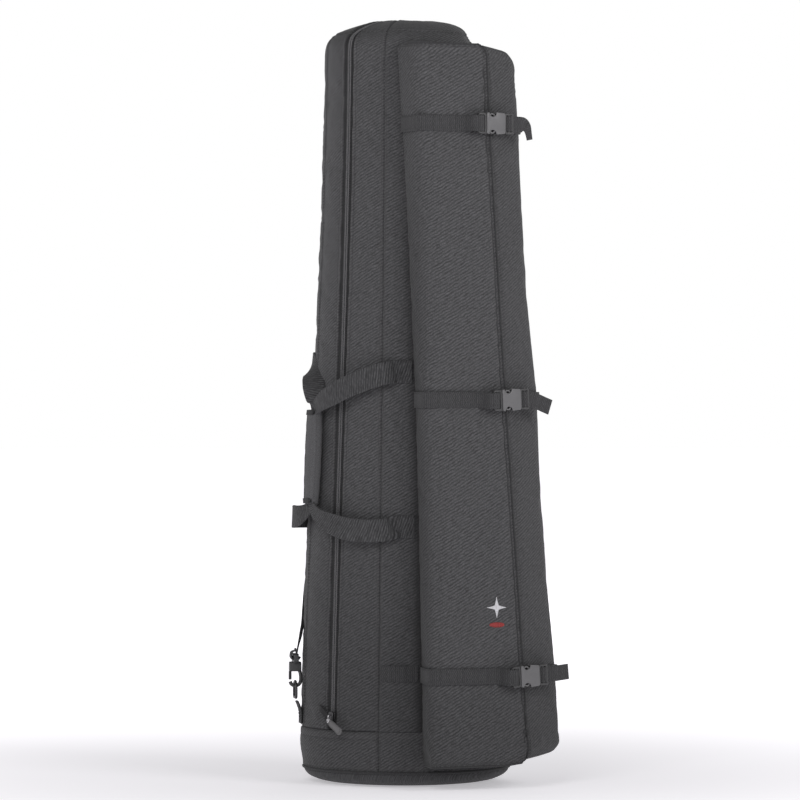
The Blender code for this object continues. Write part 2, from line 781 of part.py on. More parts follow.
def add_harness_side(name, side):
    frame = hook_frame(side)
    place, along, out, up = frame

    tab_knots = [(side * HARNESS_ANGLE, 0.082, 0.0010, 0.0200), (side * HARNESS_ANGLE, 0.102, 0.0030, 0.0200)]
    add_object(f"web_tab_{name}", *surface_band(tab_knots, 0.0030, 2), "webbing")

    ring_z = -0.0250
    half_ring = [(0.0085, 0.0), (0.0105, 0.0030), (0.0105, 0.0110), (0.0075, 0.0180)]
    ring = [*half_ring, (0.0, 0.0205), *[(-x, z) for x, z in reversed(half_ring)]]
    path = [local(frame, x, 0.0, ring_z + z) for x, z in ring]
    add_object(f"d_ring_{name}", *tube(path, 0.0015, 8, closed=True), "steel", local(frame, 0.0, 0.0, ring_z))

    hook = [(-0.0050, 0.0110), (-0.0068, 0.0040), (-0.0068, -0.0040), (-0.0045, -0.0085), (0.0, -0.0102)]
    hook += [(0.0045, -0.0085), (0.0066, -0.0050)]
    bar = tube([local(frame, 0.0, y, z) for y, z in hook], 0.0016, 8)
    block = box_points(frame, (-0.0045, -0.0072, 0.0090), (0.0045, 0.0078, 0.0200))
    body = add_object(f"snap_hook_{name}", *block, "black_plastic", place)
    add_boolean(body, add_object(f"hook_bar_guide_{name}", *bar, "foam"), "UNION")
    eye = box_points(frame, (-0.0115, -0.0030, 0.0190), (0.0115, 0.0030, 0.0310))
    add_boolean(body, add_object(f"hook_eye_guide_{name}", *eye, "foam"), "UNION")
    hole = box_points(frame, (-0.0085, -0.0050, 0.0225), (0.0085, 0.0050, 0.0280))
    add_boolean(body, add_object(f"hook_eye_cutter_{name}", *hole, "foam"), "DIFFERENCE")

    gate = [local(frame, 0.0, 0.0066, z) for z in (0.0082, 0.0020, -0.0022)]
    add_object(f"hook_gate_{name}", *tube(gate, 0.0014, 8), "black_plastic", gate[0])

    web_knots = [
        (side * HARNESS_ANGLE, 0.1665, 0.0090, 0.0180),
        (side * 103.5, 0.1840, 0.0070, 0.0200),
        (side * 111.0, 0.2060, 0.0035, 0.0240),
        (side * 121.0, 0.2420, 0.0016, 0.0250),
        (side * 132.0, 0.3000, 0.0015, 0.0250),
        (side * 138.0, 0.3920, 0.0015, 0.0250),
    ]
    add_object(f"harness_web_{name}", *surface_band(web_knots, 0.0018, 6), "webbing")
    pad_knots = [
        (side * 141.0, 0.410, 0.0030, 0.0420),
        (side * 146.0, 0.460, 0.0030, 0.0560),
        (side * 152.0, 0.560, 0.0040, 0.0620),
        (side * 156.0, 0.680, 0.0040, 0.0580),
        (side * 158.0, 0.790, 0.0030, 0.0500),
    ]
    add_object(f"shoulder_pad_{name}", *surface_band(pad_knots, 0.0120, 3), "polyester")


def main():
    clear_scene()
    add_body_shells()
    add_base()
    add_accessory_case()
    add_straps()
    add_zip_teeth()
    add_slider()
    add_handle()
    for name, side in (("left", -1.0), ("right", 1.0)):
        add_harness_side(name, side)


main()
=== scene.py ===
"""Looks of the padded carry case: twill panels over foam, a strapped-on accessory case, webbing, buckles,
a coil zip, a wrapped carry handle and a backpack harness.

Metres, +Z up. Round the body, an angle of 0 faces -Y and a positive angle turns towards +X."""

import math

import bmesh
import bpy
import numpy as np
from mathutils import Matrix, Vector
from mathutils.bvhtree import BVHTree


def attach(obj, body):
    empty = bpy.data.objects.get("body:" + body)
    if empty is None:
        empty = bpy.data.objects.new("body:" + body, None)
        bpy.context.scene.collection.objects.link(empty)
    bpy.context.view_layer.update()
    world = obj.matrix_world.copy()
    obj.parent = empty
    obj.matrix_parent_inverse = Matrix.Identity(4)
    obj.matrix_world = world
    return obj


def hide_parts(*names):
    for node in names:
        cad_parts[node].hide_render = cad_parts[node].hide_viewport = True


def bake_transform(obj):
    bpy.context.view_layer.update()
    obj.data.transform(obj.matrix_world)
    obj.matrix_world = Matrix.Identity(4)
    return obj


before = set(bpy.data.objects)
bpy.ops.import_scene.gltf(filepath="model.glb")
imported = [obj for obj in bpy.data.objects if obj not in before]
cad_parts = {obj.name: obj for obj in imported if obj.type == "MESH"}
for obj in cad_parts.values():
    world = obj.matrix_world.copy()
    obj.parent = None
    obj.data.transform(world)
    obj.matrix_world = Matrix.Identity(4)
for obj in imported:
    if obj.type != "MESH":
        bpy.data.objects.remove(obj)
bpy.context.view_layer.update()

# Body, as in the design
R_BASE = 0.1338
R_TOP = 0.1011
TAPER_TOP_Z = 0.93
SHOULDER_Z = 0.925
CROWN_HEIGHT = 0.0448
CROWN_RUN = 0.118  # length of a line up the crown, from the shoulder to its middle
CROWN_EXPONENT = 2.7
CROWN_SLUMP = 0.14
CROWN_SLOPE = 0.12
SLUMP_ANGLE = 72.0
BACK_DEPTH = 0.74
BACK_SHARPNESS = 8
BASE_SEAM_Z = 0.018
CUP_SEAM_Z = 0.070
REST_RADIUS = 0.088
BASE_TUCK = 0.036
WALL = 0.0134
SEAM_GAP = 0.0004
COVER_SHIFT = np.array((0.0, -0.0006, 0.0))
ZIP_ANGLE = -63.5
HINGE_ANGLE = 94.0
GUSSET_ANGLE = -34.5
SIDE_ANGLE = -95.0
HARNESS_ANGLE = 101.0
FAR_SEAM_ANGLE = 58.0
BACK_SEAM_OFF = 62.0  # each back seam, from straight behind
CROWN_SEAM_RUN = SHOULDER_Z + 0.0385
SEAM_OFFSETS_ANGLE = (0.35, 0.8, 1.4, 2.3, 3.6)
SEAM_OFFSETS_RUN = (0.0008, 0.0018, 0.0032, 0.006)
EDGE_OFFSETS_ANGLE = (0.25, 0.8, 1.2, 1.6, 2.0, 2.4, 2.8, 3.2, 3.7, 4.2, 4.8, 5.6, 6.6)
SEAM_GROOVE = 0.0017
SEAM_EDGE = 0.0030  # from a seam to the rubbed edge beside it
SEAM_THREAD_ASIDE = 0.0031
STITCH_SINK = 0.00005
ROD_SIDES = 6
RIPPLE_WAVES = 7
BODY_PRESSURE = 5.0
BODY_PUFF = 0.0026  # as far as the body's padding may blow out
FOLDS = (  # slope, height at the zip, width and height of each soft fold low on the front
    (38.0, 0.135, 0.0060, -0.0011), (38.0, 0.150, 0.0070, 0.0012), (32.0, 0.185, 0.0070, -0.0010),
    (32.0, 0.201, 0.0080, 0.0011), (26.0, 0.246, 0.0090, -0.0009), (28.0, 0.268, 0.0100, 0.0009),
    (-30.0, 0.112, 0.0070, -0.0009),
)

# Accessory case
CASE_BOTTOM_Z = 0.029
CASE_TOP_Z = 0.933
CASE_LEFT_X = -0.0358
CASE_RIGHT_ANGLE = 52.0
CASE_CLEARANCE = 0.0026
CORNER_RADII = (0.0, 0.013, 0.005, 0.015, 0.0)
CORNER_STEPS = 6
SIDE_STEPS = (8, 18, 10, 5)
BACK_STEPS = 12
CASE_LIFT = 0.0044
PIPING_COLUMN = SIDE_STEPS[0] + CORNER_STEPS + SIDE_STEPS[1] + CORNER_STEPS // 2
FOLD_COLUMN = SIDE_STEPS[0] + CORNER_STEPS // 2
OUTER_COLUMN = PIPING_COLUMN + CORNER_STEPS // 2 + SIDE_STEPS[2] + CORNER_STEPS // 2
CASE_PRESSURE = 6.0
CASE_PUFF = 0.0042
CAP_ROUND = 0.0045
END_REACH = 0.060  # how far from each end its slope begins

# Straps and buckles
WEBBING = 0.0200
WEBBING_THICK = 0.0015
STRAP_LIFT = 0.0014
STRAPS = {"top": 0.8322, "middle": 0.4862, "bottom": 0.1420}
TAILS = {  # (run past the ladder, out, up) of each loose end's last knots, then its end width and twist
    "top": (((0.0270, 0.0046, -0.0006), (0.0335, 0.0042, -0.0040), (0.0368, 0.0034, -0.0110),
             (0.0388, 0.0028, -0.0190)), 0.40, 30.0),
    "middle": (((0.0250, 0.0048, -0.0042), (0.0350, 0.0042, -0.0085), (0.0445, 0.0036, -0.0125)), 1.0, 0.0),
    "bottom": (((0.0250, 0.0048, 0.0002), (0.0350, 0.0042, 0.0006), (0.0445, 0.0036, 0.0010)), 1.0, 0.0),
}
BUCKLE_TILTS = {"top": 0.0, "middle": 3.0, "bottom": 3.0}
BUCKLE_TURN = 10.0
BUCKLE_START = -0.0240
BUCKLE_LENGTH = 0.0515
BUCKLE_WIDTH = 0.0265
BUCKLE_THICK = 0.0090
SOCKET_LENGTH = 0.0385
PRONG_LENGTH = 0.0194

# Zip
SLIDER_Z = 0.0865
SLIDER_LIFT = 0.0042
SLIDER_TOP_Z = 0.860
SLIDER_ASIDE = 0.0022
ZIP_CHANNEL_SHELL = 0.0088
ZIP_CHANNEL_COVER = 0.0070
ZIP_DEPTH = 0.0021
ZIP_END_RISE = 0.026
PULL_SLANT = 58.0

# Handle
GRIP_ANGLE = -81.0
GRIP_LIFT = 0.0125
GRIP_TOP_Z = 0.473
GRIP_BOTTOM_Z = 0.354
HANDLE_WEB = 0.0285
HANDLE_THICK = 0.0021

# Harness
HOOK_Z = 0.132
HOOK_LIFT = 0.0105
TAB_WEB = 0.0200
HARNESS_WEB = 0.0250
PAD_PRESSURE = 5.0
PAD_PUFF = 0.0030

# Embroidered mark
MOTIF_X = 0.052
MOTIF_Z = 0.212
STAR_REACH = 0.0125
STAR_RISE = 0.0155
OVAL_LENGTH = 0.021
OVAL_DROP = 0.0060
SATIN_RADIUS = 0.00055

# Studio
WORLD_LEVEL = 1.0
FLOOR_GLOW = 0.85
LAMPS = (
    ("key_light", (-1.5, -2.2, 1.75), 1.2, 21.0, (0, 0, 0.85)),
    ("fill_light", (1.1, -2.4, 1.65), 1.2, 21.0, (0, 0, 0.85)),
    ("back_light", (2.5, 5.0, 1.8), 2.6, 40.0, (0, 0, 0.5)),
)
CAMERA_TURN = 20.0
CAMERA_DISTANCE = 6.0
CAMERA_HEIGHT = 0.486
CAMERA_ASIDE = -0.0058
LENS = 210.9


# ---------------------------------------------------------------- the body's surface


def wall_radius(z):
    share = np.clip(np.asarray(z, float) / TAPER_TOP_Z, 0.0, 1.0)
    soft = (1.0 + np.cos(np.pi * share)) / 2.0
    return R_TOP + (R_BASE - R_TOP) * ((1.0 - share) + soft) / 2.0


def radius_at(angle, z):
    radius = wall_radius(z)
    facing_back = np.maximum(-np.cos(np.radians(angle)), 1e-6)
    flat = (facing_back / (BACK_DEPTH * radius)) ** BACK_SHARPNESS
    return (radius**-BACK_SHARPNESS + flat) ** (-1.0 / BACK_SHARPNESS)


def around(angle, radius, z):
    turn = np.radians(angle)
    x, y, z = np.broadcast_arrays(radius * np.sin(turn), -radius * np.cos(turn), z)
    return np.stack((x, y, z), axis=-1)


def left_share(angle):
    """1 on the side towards the handle, falling to 0 on the far side."""
    return 0.5 + 0.5 * np.cos(np.radians(np.asarray(angle, float) + 110.0))


def body_point(angle, run, inset=0.0):
    """A point on the body at an angle and a distance run up its wall and then over its crown."""
    run = np.asarray(run, float)
    z = np.minimum(run, SHOULDER_Z)
    rise = np.clip((run - SHOULDER_Z) / CROWN_RUN, 0.0, 1.0) * math.pi / 2
    power = 2.0 / CROWN_EXPONENT
    shrink = np.maximum(np.cos(rise), 0.0) ** power
    lift = np.sin(rise) ** power
    off = (np.asarray(angle, float) - SLUMP_ANGLE + 180) % 360 - 180
    slump = CROWN_SLUMP * bell(off, 48.0) * smoothstep(0.0, 0.3, rise)
    slump = slump * (1 - smoothstep(0.35, 1.0, rise))
    slope = CROWN_SLOPE * (1 - bell(off, 100.0)) * smoothstep(0.3, 1.0, rise)
    shrink = shrink * (1 - slope) - slump
    tuck = 1 - BASE_TUCK * left_share(angle) * (1 - smoothstep(0.012, 0.056, z))
    return around(angle, (radius_at(angle, z) * tuck - inset) * shrink, z + (CROWN_HEIGHT - inset) * lift)


def body_frame(angle, z):
    """(point, outward normal, level tangent towards +angle) of the body's outside."""
    point = body_point(angle, z)
    level = unit(body_point(angle + 0.5, z) - body_point(angle - 0.5, z))
    upward = unit(body_point(angle, z + 0.002) - body_point(angle, z - 0.002))
    return point, unit(np.cross(level, upward)), level


def unit(vectors):
    vectors = np.asarray(vectors, float)
    return vectors / np.maximum(np.linalg.norm(vectors, axis=-1, keepdims=True), 1e-12)


def heading(path):
    """The direction of travel at each point of a path."""
    return unit(np.gradient(path, axis=0))


# ---------------------------------------------------------------- grids, sweeps and meshes


def between(low, high, count):
    return np.linspace(low, high, count)


def cubic(values, positions, axis=0, wrap=False):
    """Values at fractional places along an axis, on a smooth curve through them."""
    values = np.moveaxis(np.asarray(values, float), axis, 0)
    count = len(values)
    base = np.floor(positions).astype(int)
    share = (positions - base).reshape(-1, *([1] * (values.ndim - 1)))

    def at(index):
        return values[index % count if wrap else np.clip(index, 0, count - 1)]

    a, b, c, d = at(base - 1), at(base), at(base + 1), at(base + 2)
    bend = 2 * a - 5 * b + 4 * c - d + share * (3 * (b - c) + d - a)
    return np.moveaxis(b + 0.5 * share * (c - a + share * bend), 0, axis)


def lengths_along(points):
    """The distance from the first point to each point of a line."""
    return np.concatenate(([0], np.cumsum(np.linalg.norm(np.diff(points[:, :3], axis=0), axis=1))))


def smooth_path(points, step):
    """A smooth line through given points, with a point every step."""
    points = np.asarray(points, float)
    rough = cubic(points, between(0, len(points) - 1, 16 * len(points)))
    along = lengths_along(rough)
    places = between(0, along[-1], max(int(along[-1] / step), 2) + 1)
    return np.stack([np.interp(places, along, rough[:, k]) for k in range(points.shape[1])], axis=1)


def grid_normals(grid, wrap=False):
    """Outward normals of a grid whose rows go up and whose columns go towards +angle."""
    up = np.gradient(grid, axis=0)
    across = np.roll(grid, -1, 1) - np.roll(grid, 1, 1) if wrap else np.gradient(grid, axis=1)
    return unit(np.cross(across, up))


def new_mesh(name, points, faces, material, cloth=None, wear=None, second=None, second_faces=(), painted_shade=None):
    """A mesh object with its cloth coordinates in metres, its wear from 0 to 1 and its painted shade from 0 to
    1.
    """
    mesh = bpy.data.meshes.new(name)
    mesh.from_pydata(np.asarray(points, float).tolist(), [], [list(map(int, f)) for f in faces])
    for title, values in (("cloth", cloth), ("wear", wear), ("painted_shade", painted_shade)):
        if values is not None:
            kind, key = ("FLOAT_VECTOR", "vector") if title == "cloth" else ("FLOAT", "value")
            layer = mesh.attributes.new(title, kind, "POINT")
            layer.data.foreach_set(key, np.asarray(values, np.float32).ravel())
    mesh.materials.append(material)
    if second is not None:
        mesh.materials.append(second)
        for index in second_faces:
            mesh.polygons[index].material_index = 1
    mesh.validate()
    mesh.shade_smooth()
    thing = bpy.data.objects.new(name, mesh)
    bpy.context.scene.collection.objects.link(thing)
    return thing


def weld(thing, distance=2e-6, sharp=None):
    work = bmesh.new()
    work.from_mesh(thing.data)
    bmesh.ops.remove_doubles(work, verts=work.verts, dist=distance)
    bmesh.ops.dissolve_degenerate(work, dist=1e-7, edges=work.edges)
    bmesh.ops.recalc_face_normals(work, faces=work.faces)
    if work.calc_volume(signed=True) < 0:
        bmesh.ops.reverse_faces(work, faces=work.faces)
    work.to_mesh(thing.data)
    work.free()
    thing.data.shade_smooth()
    if sharp:
        thing.data.set_sharp_from_angle(angle=math.radians(sharp))
    return thing


def grid_index(rows, columns, wrap=False):
    """Point numbers of a grid, its first column again at the end where it goes all the way round."""
    index = np.arange(rows * columns).reshape(rows, columns)
    return np.concatenate((index, index[:, :1]), axis=1) if wrap else index


def quads_of(index):
    return np.stack((index[:-1, :-1], index[:-1, 1:], index[1:, 1:], index[1:, :-1]), -1).reshape(-1, 4)


def capped_tube(index):
    return [*quads_of(index), index[0, :-1][::-1], index[-1, :-1]]


def padded_wall(name, outer, inner, cloth, wear, skin, lining, closed_round=False, painted_shade=None):
    """A closed wall between two grids, its inner side lined."""
    rows, columns = outer.shape[:2]
    half = rows * columns
    index = grid_index(rows, columns, closed_round)
    quads = quads_of(index)
    faces = [*quads, *(quads[:, ::-1] + half)]
    lined = list(range(len(quads), 2 * len(quads)))
    rims = [index[0], index[-1][::-1]]
    if not closed_round:
        rims += [index[:, 0][::-1], index[:, -1]]
    for rim in rims:
        faces += [(rim[i + 1], rim[i], rim[i] + half, rim[i + 1] + half) for i in range(len(rim) - 1)]
    points = np.concatenate((outer.reshape(-1, 3), inner.reshape(-1, 3)))
    flat = np.concatenate((cloth.reshape(-1, 3), cloth.reshape(-1, 3)))
    worn = np.concatenate((wear.ravel(), np.zeros(half)))
    # painted shade on the outside only; the lining has none
    dark = np.zeros(2 * half)
    if painted_shade is not None:
        dark[:half] = painted_shade.ravel()
    return weld(new_mesh(name, points, faces, skin, flat, worn, lining, lined, dark), sharp=50)


def sweep_points(path, ups, section, scale=None, closed=False):
    """Rings of a section swept along a path. Its points are (sideways, up) from the path."""
    path = np.asarray(path, float)
    forward = unit(np.roll(path, -1, 0) - np.roll(path, 1, 0)) if closed else heading(path)
    ups = np.broadcast_to(np.asarray(ups, float), path.shape)
    side = unit(np.cross(forward, ups))
    rise = unit(np.cross(side, forward))
    scale = np.ones((len(path), 2)) if scale is None else np.asarray(scale, float).reshape(len(path), -1)
    sideways = section[None, :, 0] * scale[:, :1]
    upward = section[None, :, 1] * scale[:, -1:]
    return path[:, None] + side[:, None] * sideways[..., None] + rise[:, None] * upward[..., None]


def widened(widths):
    """A sweep's scale that changes only the section's width."""
    return np.stack((widths, np.ones_like(widths)), axis=1)


def sweep(name, path, ups, section, material, scale=None, closed=False, sharp=50):
    """A closed solid made by moving a section along a path, with flat ends unless the path is closed."""
    return loft(name, sweep_points(path, ups, section, scale, closed), material, closed, sharp)


def loft(name, rings, material, closed=False, sharp=50):
    rings = np.asarray(rings, float)
    count, sides = rings.shape[:2]
    index = grid_index(count, sides, wrap=True)
    if closed:
        faces = quads_of(np.concatenate((index, index[:1]), axis=0))
    else:
        faces = capped_tube(index)
    middle = rings.mean(axis=1)
    along = lengths_along(middle)
    girth = lengths_along(rings[count // 2])
    cloth = np.zeros((count, sides, 3))
    cloth[..., 0] = girth[None, :]
    cloth[..., 1] = along[:, None]
    made = new_mesh(name, rings.reshape(-1, 3), faces, material, cloth, np.zeros(count * sides))
    return weld(made, sharp=sharp)


def circle(radius, sides=10):
    turns = np.arange(sides) * 2 * math.pi / sides
    return np.stack((np.cos(turns), np.sin(turns)), axis=1) * radius


def band(width, thick):
    """Section of webbing, its underside on the path, with rounded edges a little thicker than its middle."""
    half = width / 2
    edge = half - thick * 0.45
    right = [(half, 0.35), (half, 0.75), (edge, 1.06), (half * 0.8, 1.0), (half * 0.4, 0.97)]
    left = [(-x, y) for x, y in reversed(right)]
    points = [*right, (0, 0.96), *left, (-edge, 0.0), (0, 0.0), (edge, 0.0)]
    return np.array([(x, y * thick) for x, y in points])


def joined(name, things):
    """Several meshes as one object."""
    for thing in bpy.context.selected_objects:
        thing.select_set(False)
    for thing in things:
        thing.select_set(True)
    bpy.context.view_layer.objects.active = things[0]
    bpy.ops.object.join()
    things[0].name = name
    return things[0]


def many_rods(name, starts, ends, radius, material):
    """Short rods with rounded ends, such as stitches and zip coil, as one mesh."""
    starts = np.asarray(starts, float)
    ends = np.asarray(ends, float)
    forward = unit(ends - starts)
    helper = np.where(np.abs(forward[:, 2:3]) < 0.8, (0.0, 0.0, 1.0), (1.0, 0.0, 0.0))
    side = unit(np.cross(forward, helper))
    other = np.cross(forward, side)
    sides = ROD_SIDES
    turns = np.arange(sides) * 2 * math.pi / sides
    length = np.linalg.norm(ends - starts, axis=1)[:, None]
    rings = []
    for share, swell in ((0.0, 0.45), (0.22, 1.0), (0.78, 1.0), (1.0, 0.45)):
        centre = starts + forward * length * share
        ring = side[:, None] * np.cos(turns)[None, :, None] + other[:, None] * np.sin(turns)[None, :, None]
        rings.append(centre[:, None] + ring * radius * swell)
    points = np.stack(rings, axis=1)
    count = len(points)
    block = 4 * sides
    around_rod = [(k, (k + 1) % sides) for k in range(sides)]
    one = []
    for low in (0, sides, 2 * sides):
        one += [[low + a, low + a + sides, low + b + sides, low + b] for a, b in around_rod]
    one += [list(range(sides)), list(range(block - 1, 3 * sides - 1, -1))]
    faces = [[v + i * block for v in f] for i in range(count) for f in one]
    flat = points.reshape(-1, 3)
    cloth = np.zeros_like(flat)
    cloth[:, 1] = np.repeat(np.arange(count) * 0.004, block)
    return new_mesh(name, flat, faces, material, cloth, np.zeros(len(flat)))


def stitches(name, line, normals, length=0.0027, gap=0.0014, radius=0.00032):
    """A row of thread along a line on cloth."""
    line = np.asarray(line, float)
    normals = np.asarray(normals, float)
    along = lengths_along(line)
    begins = np.arange(gap, along[-1] - length, length + gap)

    def place(at):
        spot = np.stack([np.interp(at, along, line[:, k]) for k in range(3)], axis=1)
        out = unit(np.stack([np.interp(at, along, normals[:, k]) for k in range(3)], axis=1))
        return spot + out * (radius * 0.6 - STITCH_SINK)

    return many_rods(name, place(begins), place(begins + length), radius, THREAD)


def tree_of(thing):
    mesh = thing.data
    return BVHTree.FromPolygons([v.co[:] for v in mesh.vertices], [p.vertices[:] for p in mesh.polygons])


def onto(tree, points, lift=0.0):
    """Points moved to the nearest place on a surface, and the surface's normals there."""
    places = []
    normals = []
    for point in np.asarray(points, float):
        spot, normal, _, _ = tree.find_nearest(Vector(point))
        places.append(np.array(spot) + np.array(normal) * lift)
        normals.append(np.array(normal))
    return np.array(places), np.array(normals)


def ripple(u, v, seed, longest, shortest):
    """Soft uneven waves over cloth, from -1 to 1."""
    random = np.random.default_rng(seed)
    total = np.zeros(np.broadcast(u, v).shape)
    for _ in range(RIPPLE_WAVES):
        wave = math.exp(random.uniform(math.log(shortest), math.log(longest)))
        turn = random.uniform(0, math.pi)
        shift = random.uniform(0, 2 * math.pi)
        total = total + np.sin(2 * math.pi * (u * math.cos(turn) + v * math.sin(turn)) / wave + shift)
    return total / RIPPLE_WAVES


def bell(distance, width):
    return np.exp(-((distance / width) ** 2))


def smoothstep(low, high, value):
    share = np.clip((value - low) / (high - low), 0.0, 1.0)
    return share * share * (3 - 2 * share)


CLOTH_STEPS = 20
PANEL_CLOTH = {
    "quality": 4,
    "mass": 0.25,
    "tension_stiffness": 12,
    "compression_stiffness": 12,
    "shear_stiffness": 8,
    "bending_stiffness": 0.4,
    "shrink_min": -0.006,
    "vertex_group_mass": "held",
    "use_pressure": True,
}


def puffed(grid, held, pressure, cap, wrap=False):
    """The grid's cloth blown out by its padding between the places where it is held: a cloth simulation."""
    rows, columns = grid.shape[:2]
    quads = quads_of(grid_index(rows, columns, wrap))
    mesh = bpy.data.meshes.new("cloth_study")
    mesh.from_pydata(grid.reshape(-1, 3).tolist(), [], quads.tolist())
    thing = bpy.data.objects.new("cloth_study", mesh)
    bpy.context.scene.collection.objects.link(thing)
    group = thing.vertex_groups.new(name="held")
    group.add([int(i) for i in np.flatnonzero(held.ravel())], 1.0, "REPLACE")
    cloth = thing.modifiers.new("Cloth", "CLOTH")
    settings = cloth.settings
    for key, value in {**PANEL_CLOTH, "uniform_pressure_force": pressure}.items():
        setattr(settings, key, value)
    settings.effector_weights.gravity = 0.0
    cloth.collision_settings.use_collision = False
    cloth.collision_settings.use_self_collision = False
    cloth.point_cache.frame_start = 1
    cloth.point_cache.frame_end = CLOTH_STEPS
    scene = bpy.context.scene
    for number in range(1, CLOTH_STEPS + 1):
        scene.frame_set(number)
    shaped = thing.evaluated_get(bpy.context.evaluated_depsgraph_get()).to_mesh()
    moved = np.empty(rows * columns * 3, np.float32)
    shaped.vertices.foreach_get("co", moved)
    scene.frame_set(1)
    bpy.data.objects.remove(thing, do_unlink=True)
    shift = moved.reshape(grid.shape) - grid
    length = np.linalg.norm(shift, axis=-1, keepdims=True)
    return grid + shift * np.minimum(1.0, cap * np.tanh(length / cap) / np.maximum(length, 1e-9))


# ---------------------------------------------------------------- materials


class Nodes:
    """Short names for building one material's nodes."""

    def __init__(self, name):
        self.material = bpy.data.materials.new(name)
        self.material.use_nodes = True
        self.tree = self.material.node_tree
        self.shader = self.tree.nodes["Principled BSDF"]

    def add(self, kind, **settings):
        node = self.tree.nodes.new(kind)
        for key, value in settings.items():
            setattr(node, key, value)
        return node

    def link(self, source, socket):
        if isinstance(source, (int, float, tuple)):
            socket.default_value = source
        else:
            self.tree.links.new(source, socket)

    def math(self, operation, first, second=0.0, clamp=False):
        node = self.add("ShaderNodeMath", operation=operation, use_clamp=clamp)
        self.link(first, node.inputs[0])
        self.link(second, node.inputs[1])
        return node.outputs[0]

    def times(self, first, second, clamp=False):
        return self.math("MULTIPLY", first, second, clamp)

    def plus(self, first, second):
        return self.math("ADD", first, second)

    def scaled(self, value, factor, offset):
        """value times factor plus offset, each a number or a socket."""
        node = self.add("ShaderNodeMath", operation="MULTIPLY_ADD")
        for socket, source in zip(node.inputs, (value, factor, offset)):
            self.link(source, socket)
        return node.outputs[0]

    def mix(self, share, first, second):
        node = self.add("ShaderNodeMix", data_type="RGBA")
        self.link(share, node.inputs[0])
        self.link(first, node.inputs[6])
        self.link(second, node.inputs[7])
        return node.outputs[2]

    def attribute(self, name, output):
        return self.add("ShaderNodeAttribute", attribute_name=name).outputs[output]

    def noise(self, vector, scale, detail=2.0, roughness=0.5):
        node = self.add("ShaderNodeTexNoise")
        self.link(vector, node.inputs["Vector"])
        node.inputs["Scale"].default_value = scale
        node.inputs["Detail"].default_value = detail
        node.inputs["Roughness"].default_value = roughness
        return node.outputs["Fac"]

    def object_place(self):
        return self.add("ShaderNodeTexCoord").outputs["Object"]

    def bump(self, height, distance, strength=1.0):
        node = self.add("ShaderNodeBump")
        node.inputs["Distance"].default_value = distance
        node.inputs["Strength"].default_value = strength
        self.link(height, node.inputs["Height"])
        return node.outputs["Normal"]

    def finish(self, colour, roughness, normal=None, metallic=0.0, specular=0.5, sheen=0.0):
        self.link(colour, self.shader.inputs["Base Color"])
        self.link(roughness, self.shader.inputs["Roughness"])
        if normal is not None:
            self.link(normal, self.shader.inputs["Normal"])
        self.shader.inputs["Metallic"].default_value = metallic
        self.shader.inputs["Specular IOR Level"].default_value = specular
        self.shader.inputs["Sheen Weight"].default_value = sheen
        self.shader.inputs["Sheen Roughness"].default_value = 0.6
        return self.material


def grey(level, warm=0.0):
    """A grey with a trace of violet, as black polyester has, or a little warmer."""
    return (level * (1 + warm), level * 0.985, level * (1.018 - warm), 1.0)


def woven(name, dark, light, rib, tilt, break_up, relief, worn, thread=0.55, herring=0.0, streaks=0.7):
    """Woven cloth: ribs at a tilt, broken into uneven threads, with rubbed and faded places and painted shade.

    dark, light and worn are grey levels, rib and herring are metres, and break_up is a thread's length
    in ribs."""
    n = Nodes(name)
    place = n.attribute("cloth", "Vector")
    split = n.add("ShaderNodeSeparateXYZ")
    n.link(place, split.inputs[0])
    u, v = split.outputs[0], split.outputs[1]
    if herring:
        u = n.math("PINGPONG", u, herring)
    turn = math.radians(tilt)
    across = n.plus(n.times(u, -math.sin(turn)), n.times(v, math.cos(turn)))
    along = n.plus(n.times(u, math.cos(turn)), n.times(v, math.sin(turn)))
    wander = n.noise(place, 120.0, 3.0)
    bent = n.plus(across, n.times(n.math("SUBTRACT", wander, 0.5), rib * 1.1))
    ribs = n.scaled(n.math("SINE", n.times(bent, 2 * math.pi / rib)), 0.5, 0.5)
    loose = n.noise(place, 230.0, 2.0)
    row = n.math("FLOOR", n.math("DIVIDE", bent, rib))
    stagger = n.plus(n.times(row, 0.37), n.times(loose, 3.2))
    cells = n.plus(n.math("DIVIDE", along, rib * break_up), stagger)
    threads = n.scaled(n.math("SINE", n.times(cells, 2 * math.pi)), 0.5, 0.5)
    weave = n.times(n.math("POWER", ribs, 0.8), n.scaled(threads, thread, 1.0 - thread))
    stretched = n.add("ShaderNodeCombineXYZ")
    n.link(n.times(along, 0.44 / rib), stretched.inputs[0])
    n.link(n.times(bent, 1.5 / rib), stretched.inputs[1])
    streak = n.noise(stretched.outputs[0], 1.0, 2.0, 0.55)
    uneven = n.math("POWER", n.scaled(streak, 2.6, -0.62), 1.5, clamp=True)
    patches = n.noise(place, 260.0, 3.0, 0.6)
    ribbed = n.plus(n.times(weave, 1.0 - streaks), n.times(uneven, streaks))
    mottled = n.times(ribbed, n.scaled(patches, 0.7, 0.66), clamp=True)
    cloud = n.noise(n.object_place(), 9.0, 4.0, 0.55)
    cloth = n.mix(mottled, grey(dark), grey(light, -0.012))
    aged = n.mix(n.times(cloud, 0.20), cloth, grey(light * 0.95))
    rub = n.times(n.attribute("wear", "Fac"), n.noise(place, 300.0, 3.0, 0.7))
    rubbed = n.mix(n.times(rub, 0.6, clamp=True), aged, grey(worn, 0.015))
    # painted shade: the cloth darkens where its shade attribute is set
    colour = n.mix(n.attribute("painted_shade", "Fac"), rubbed, grey(dark * 0.8))
    fuzz = n.noise(place, 1500.0, 2.0)
    height = n.plus(ribbed, n.times(fuzz, 0.25))
    normal = n.bump(height, relief)
    rough = n.plus(n.times(weave, -0.10), 0.90)
    return n.finish(colour, rough, normal, specular=0.24, sheen=0.06)


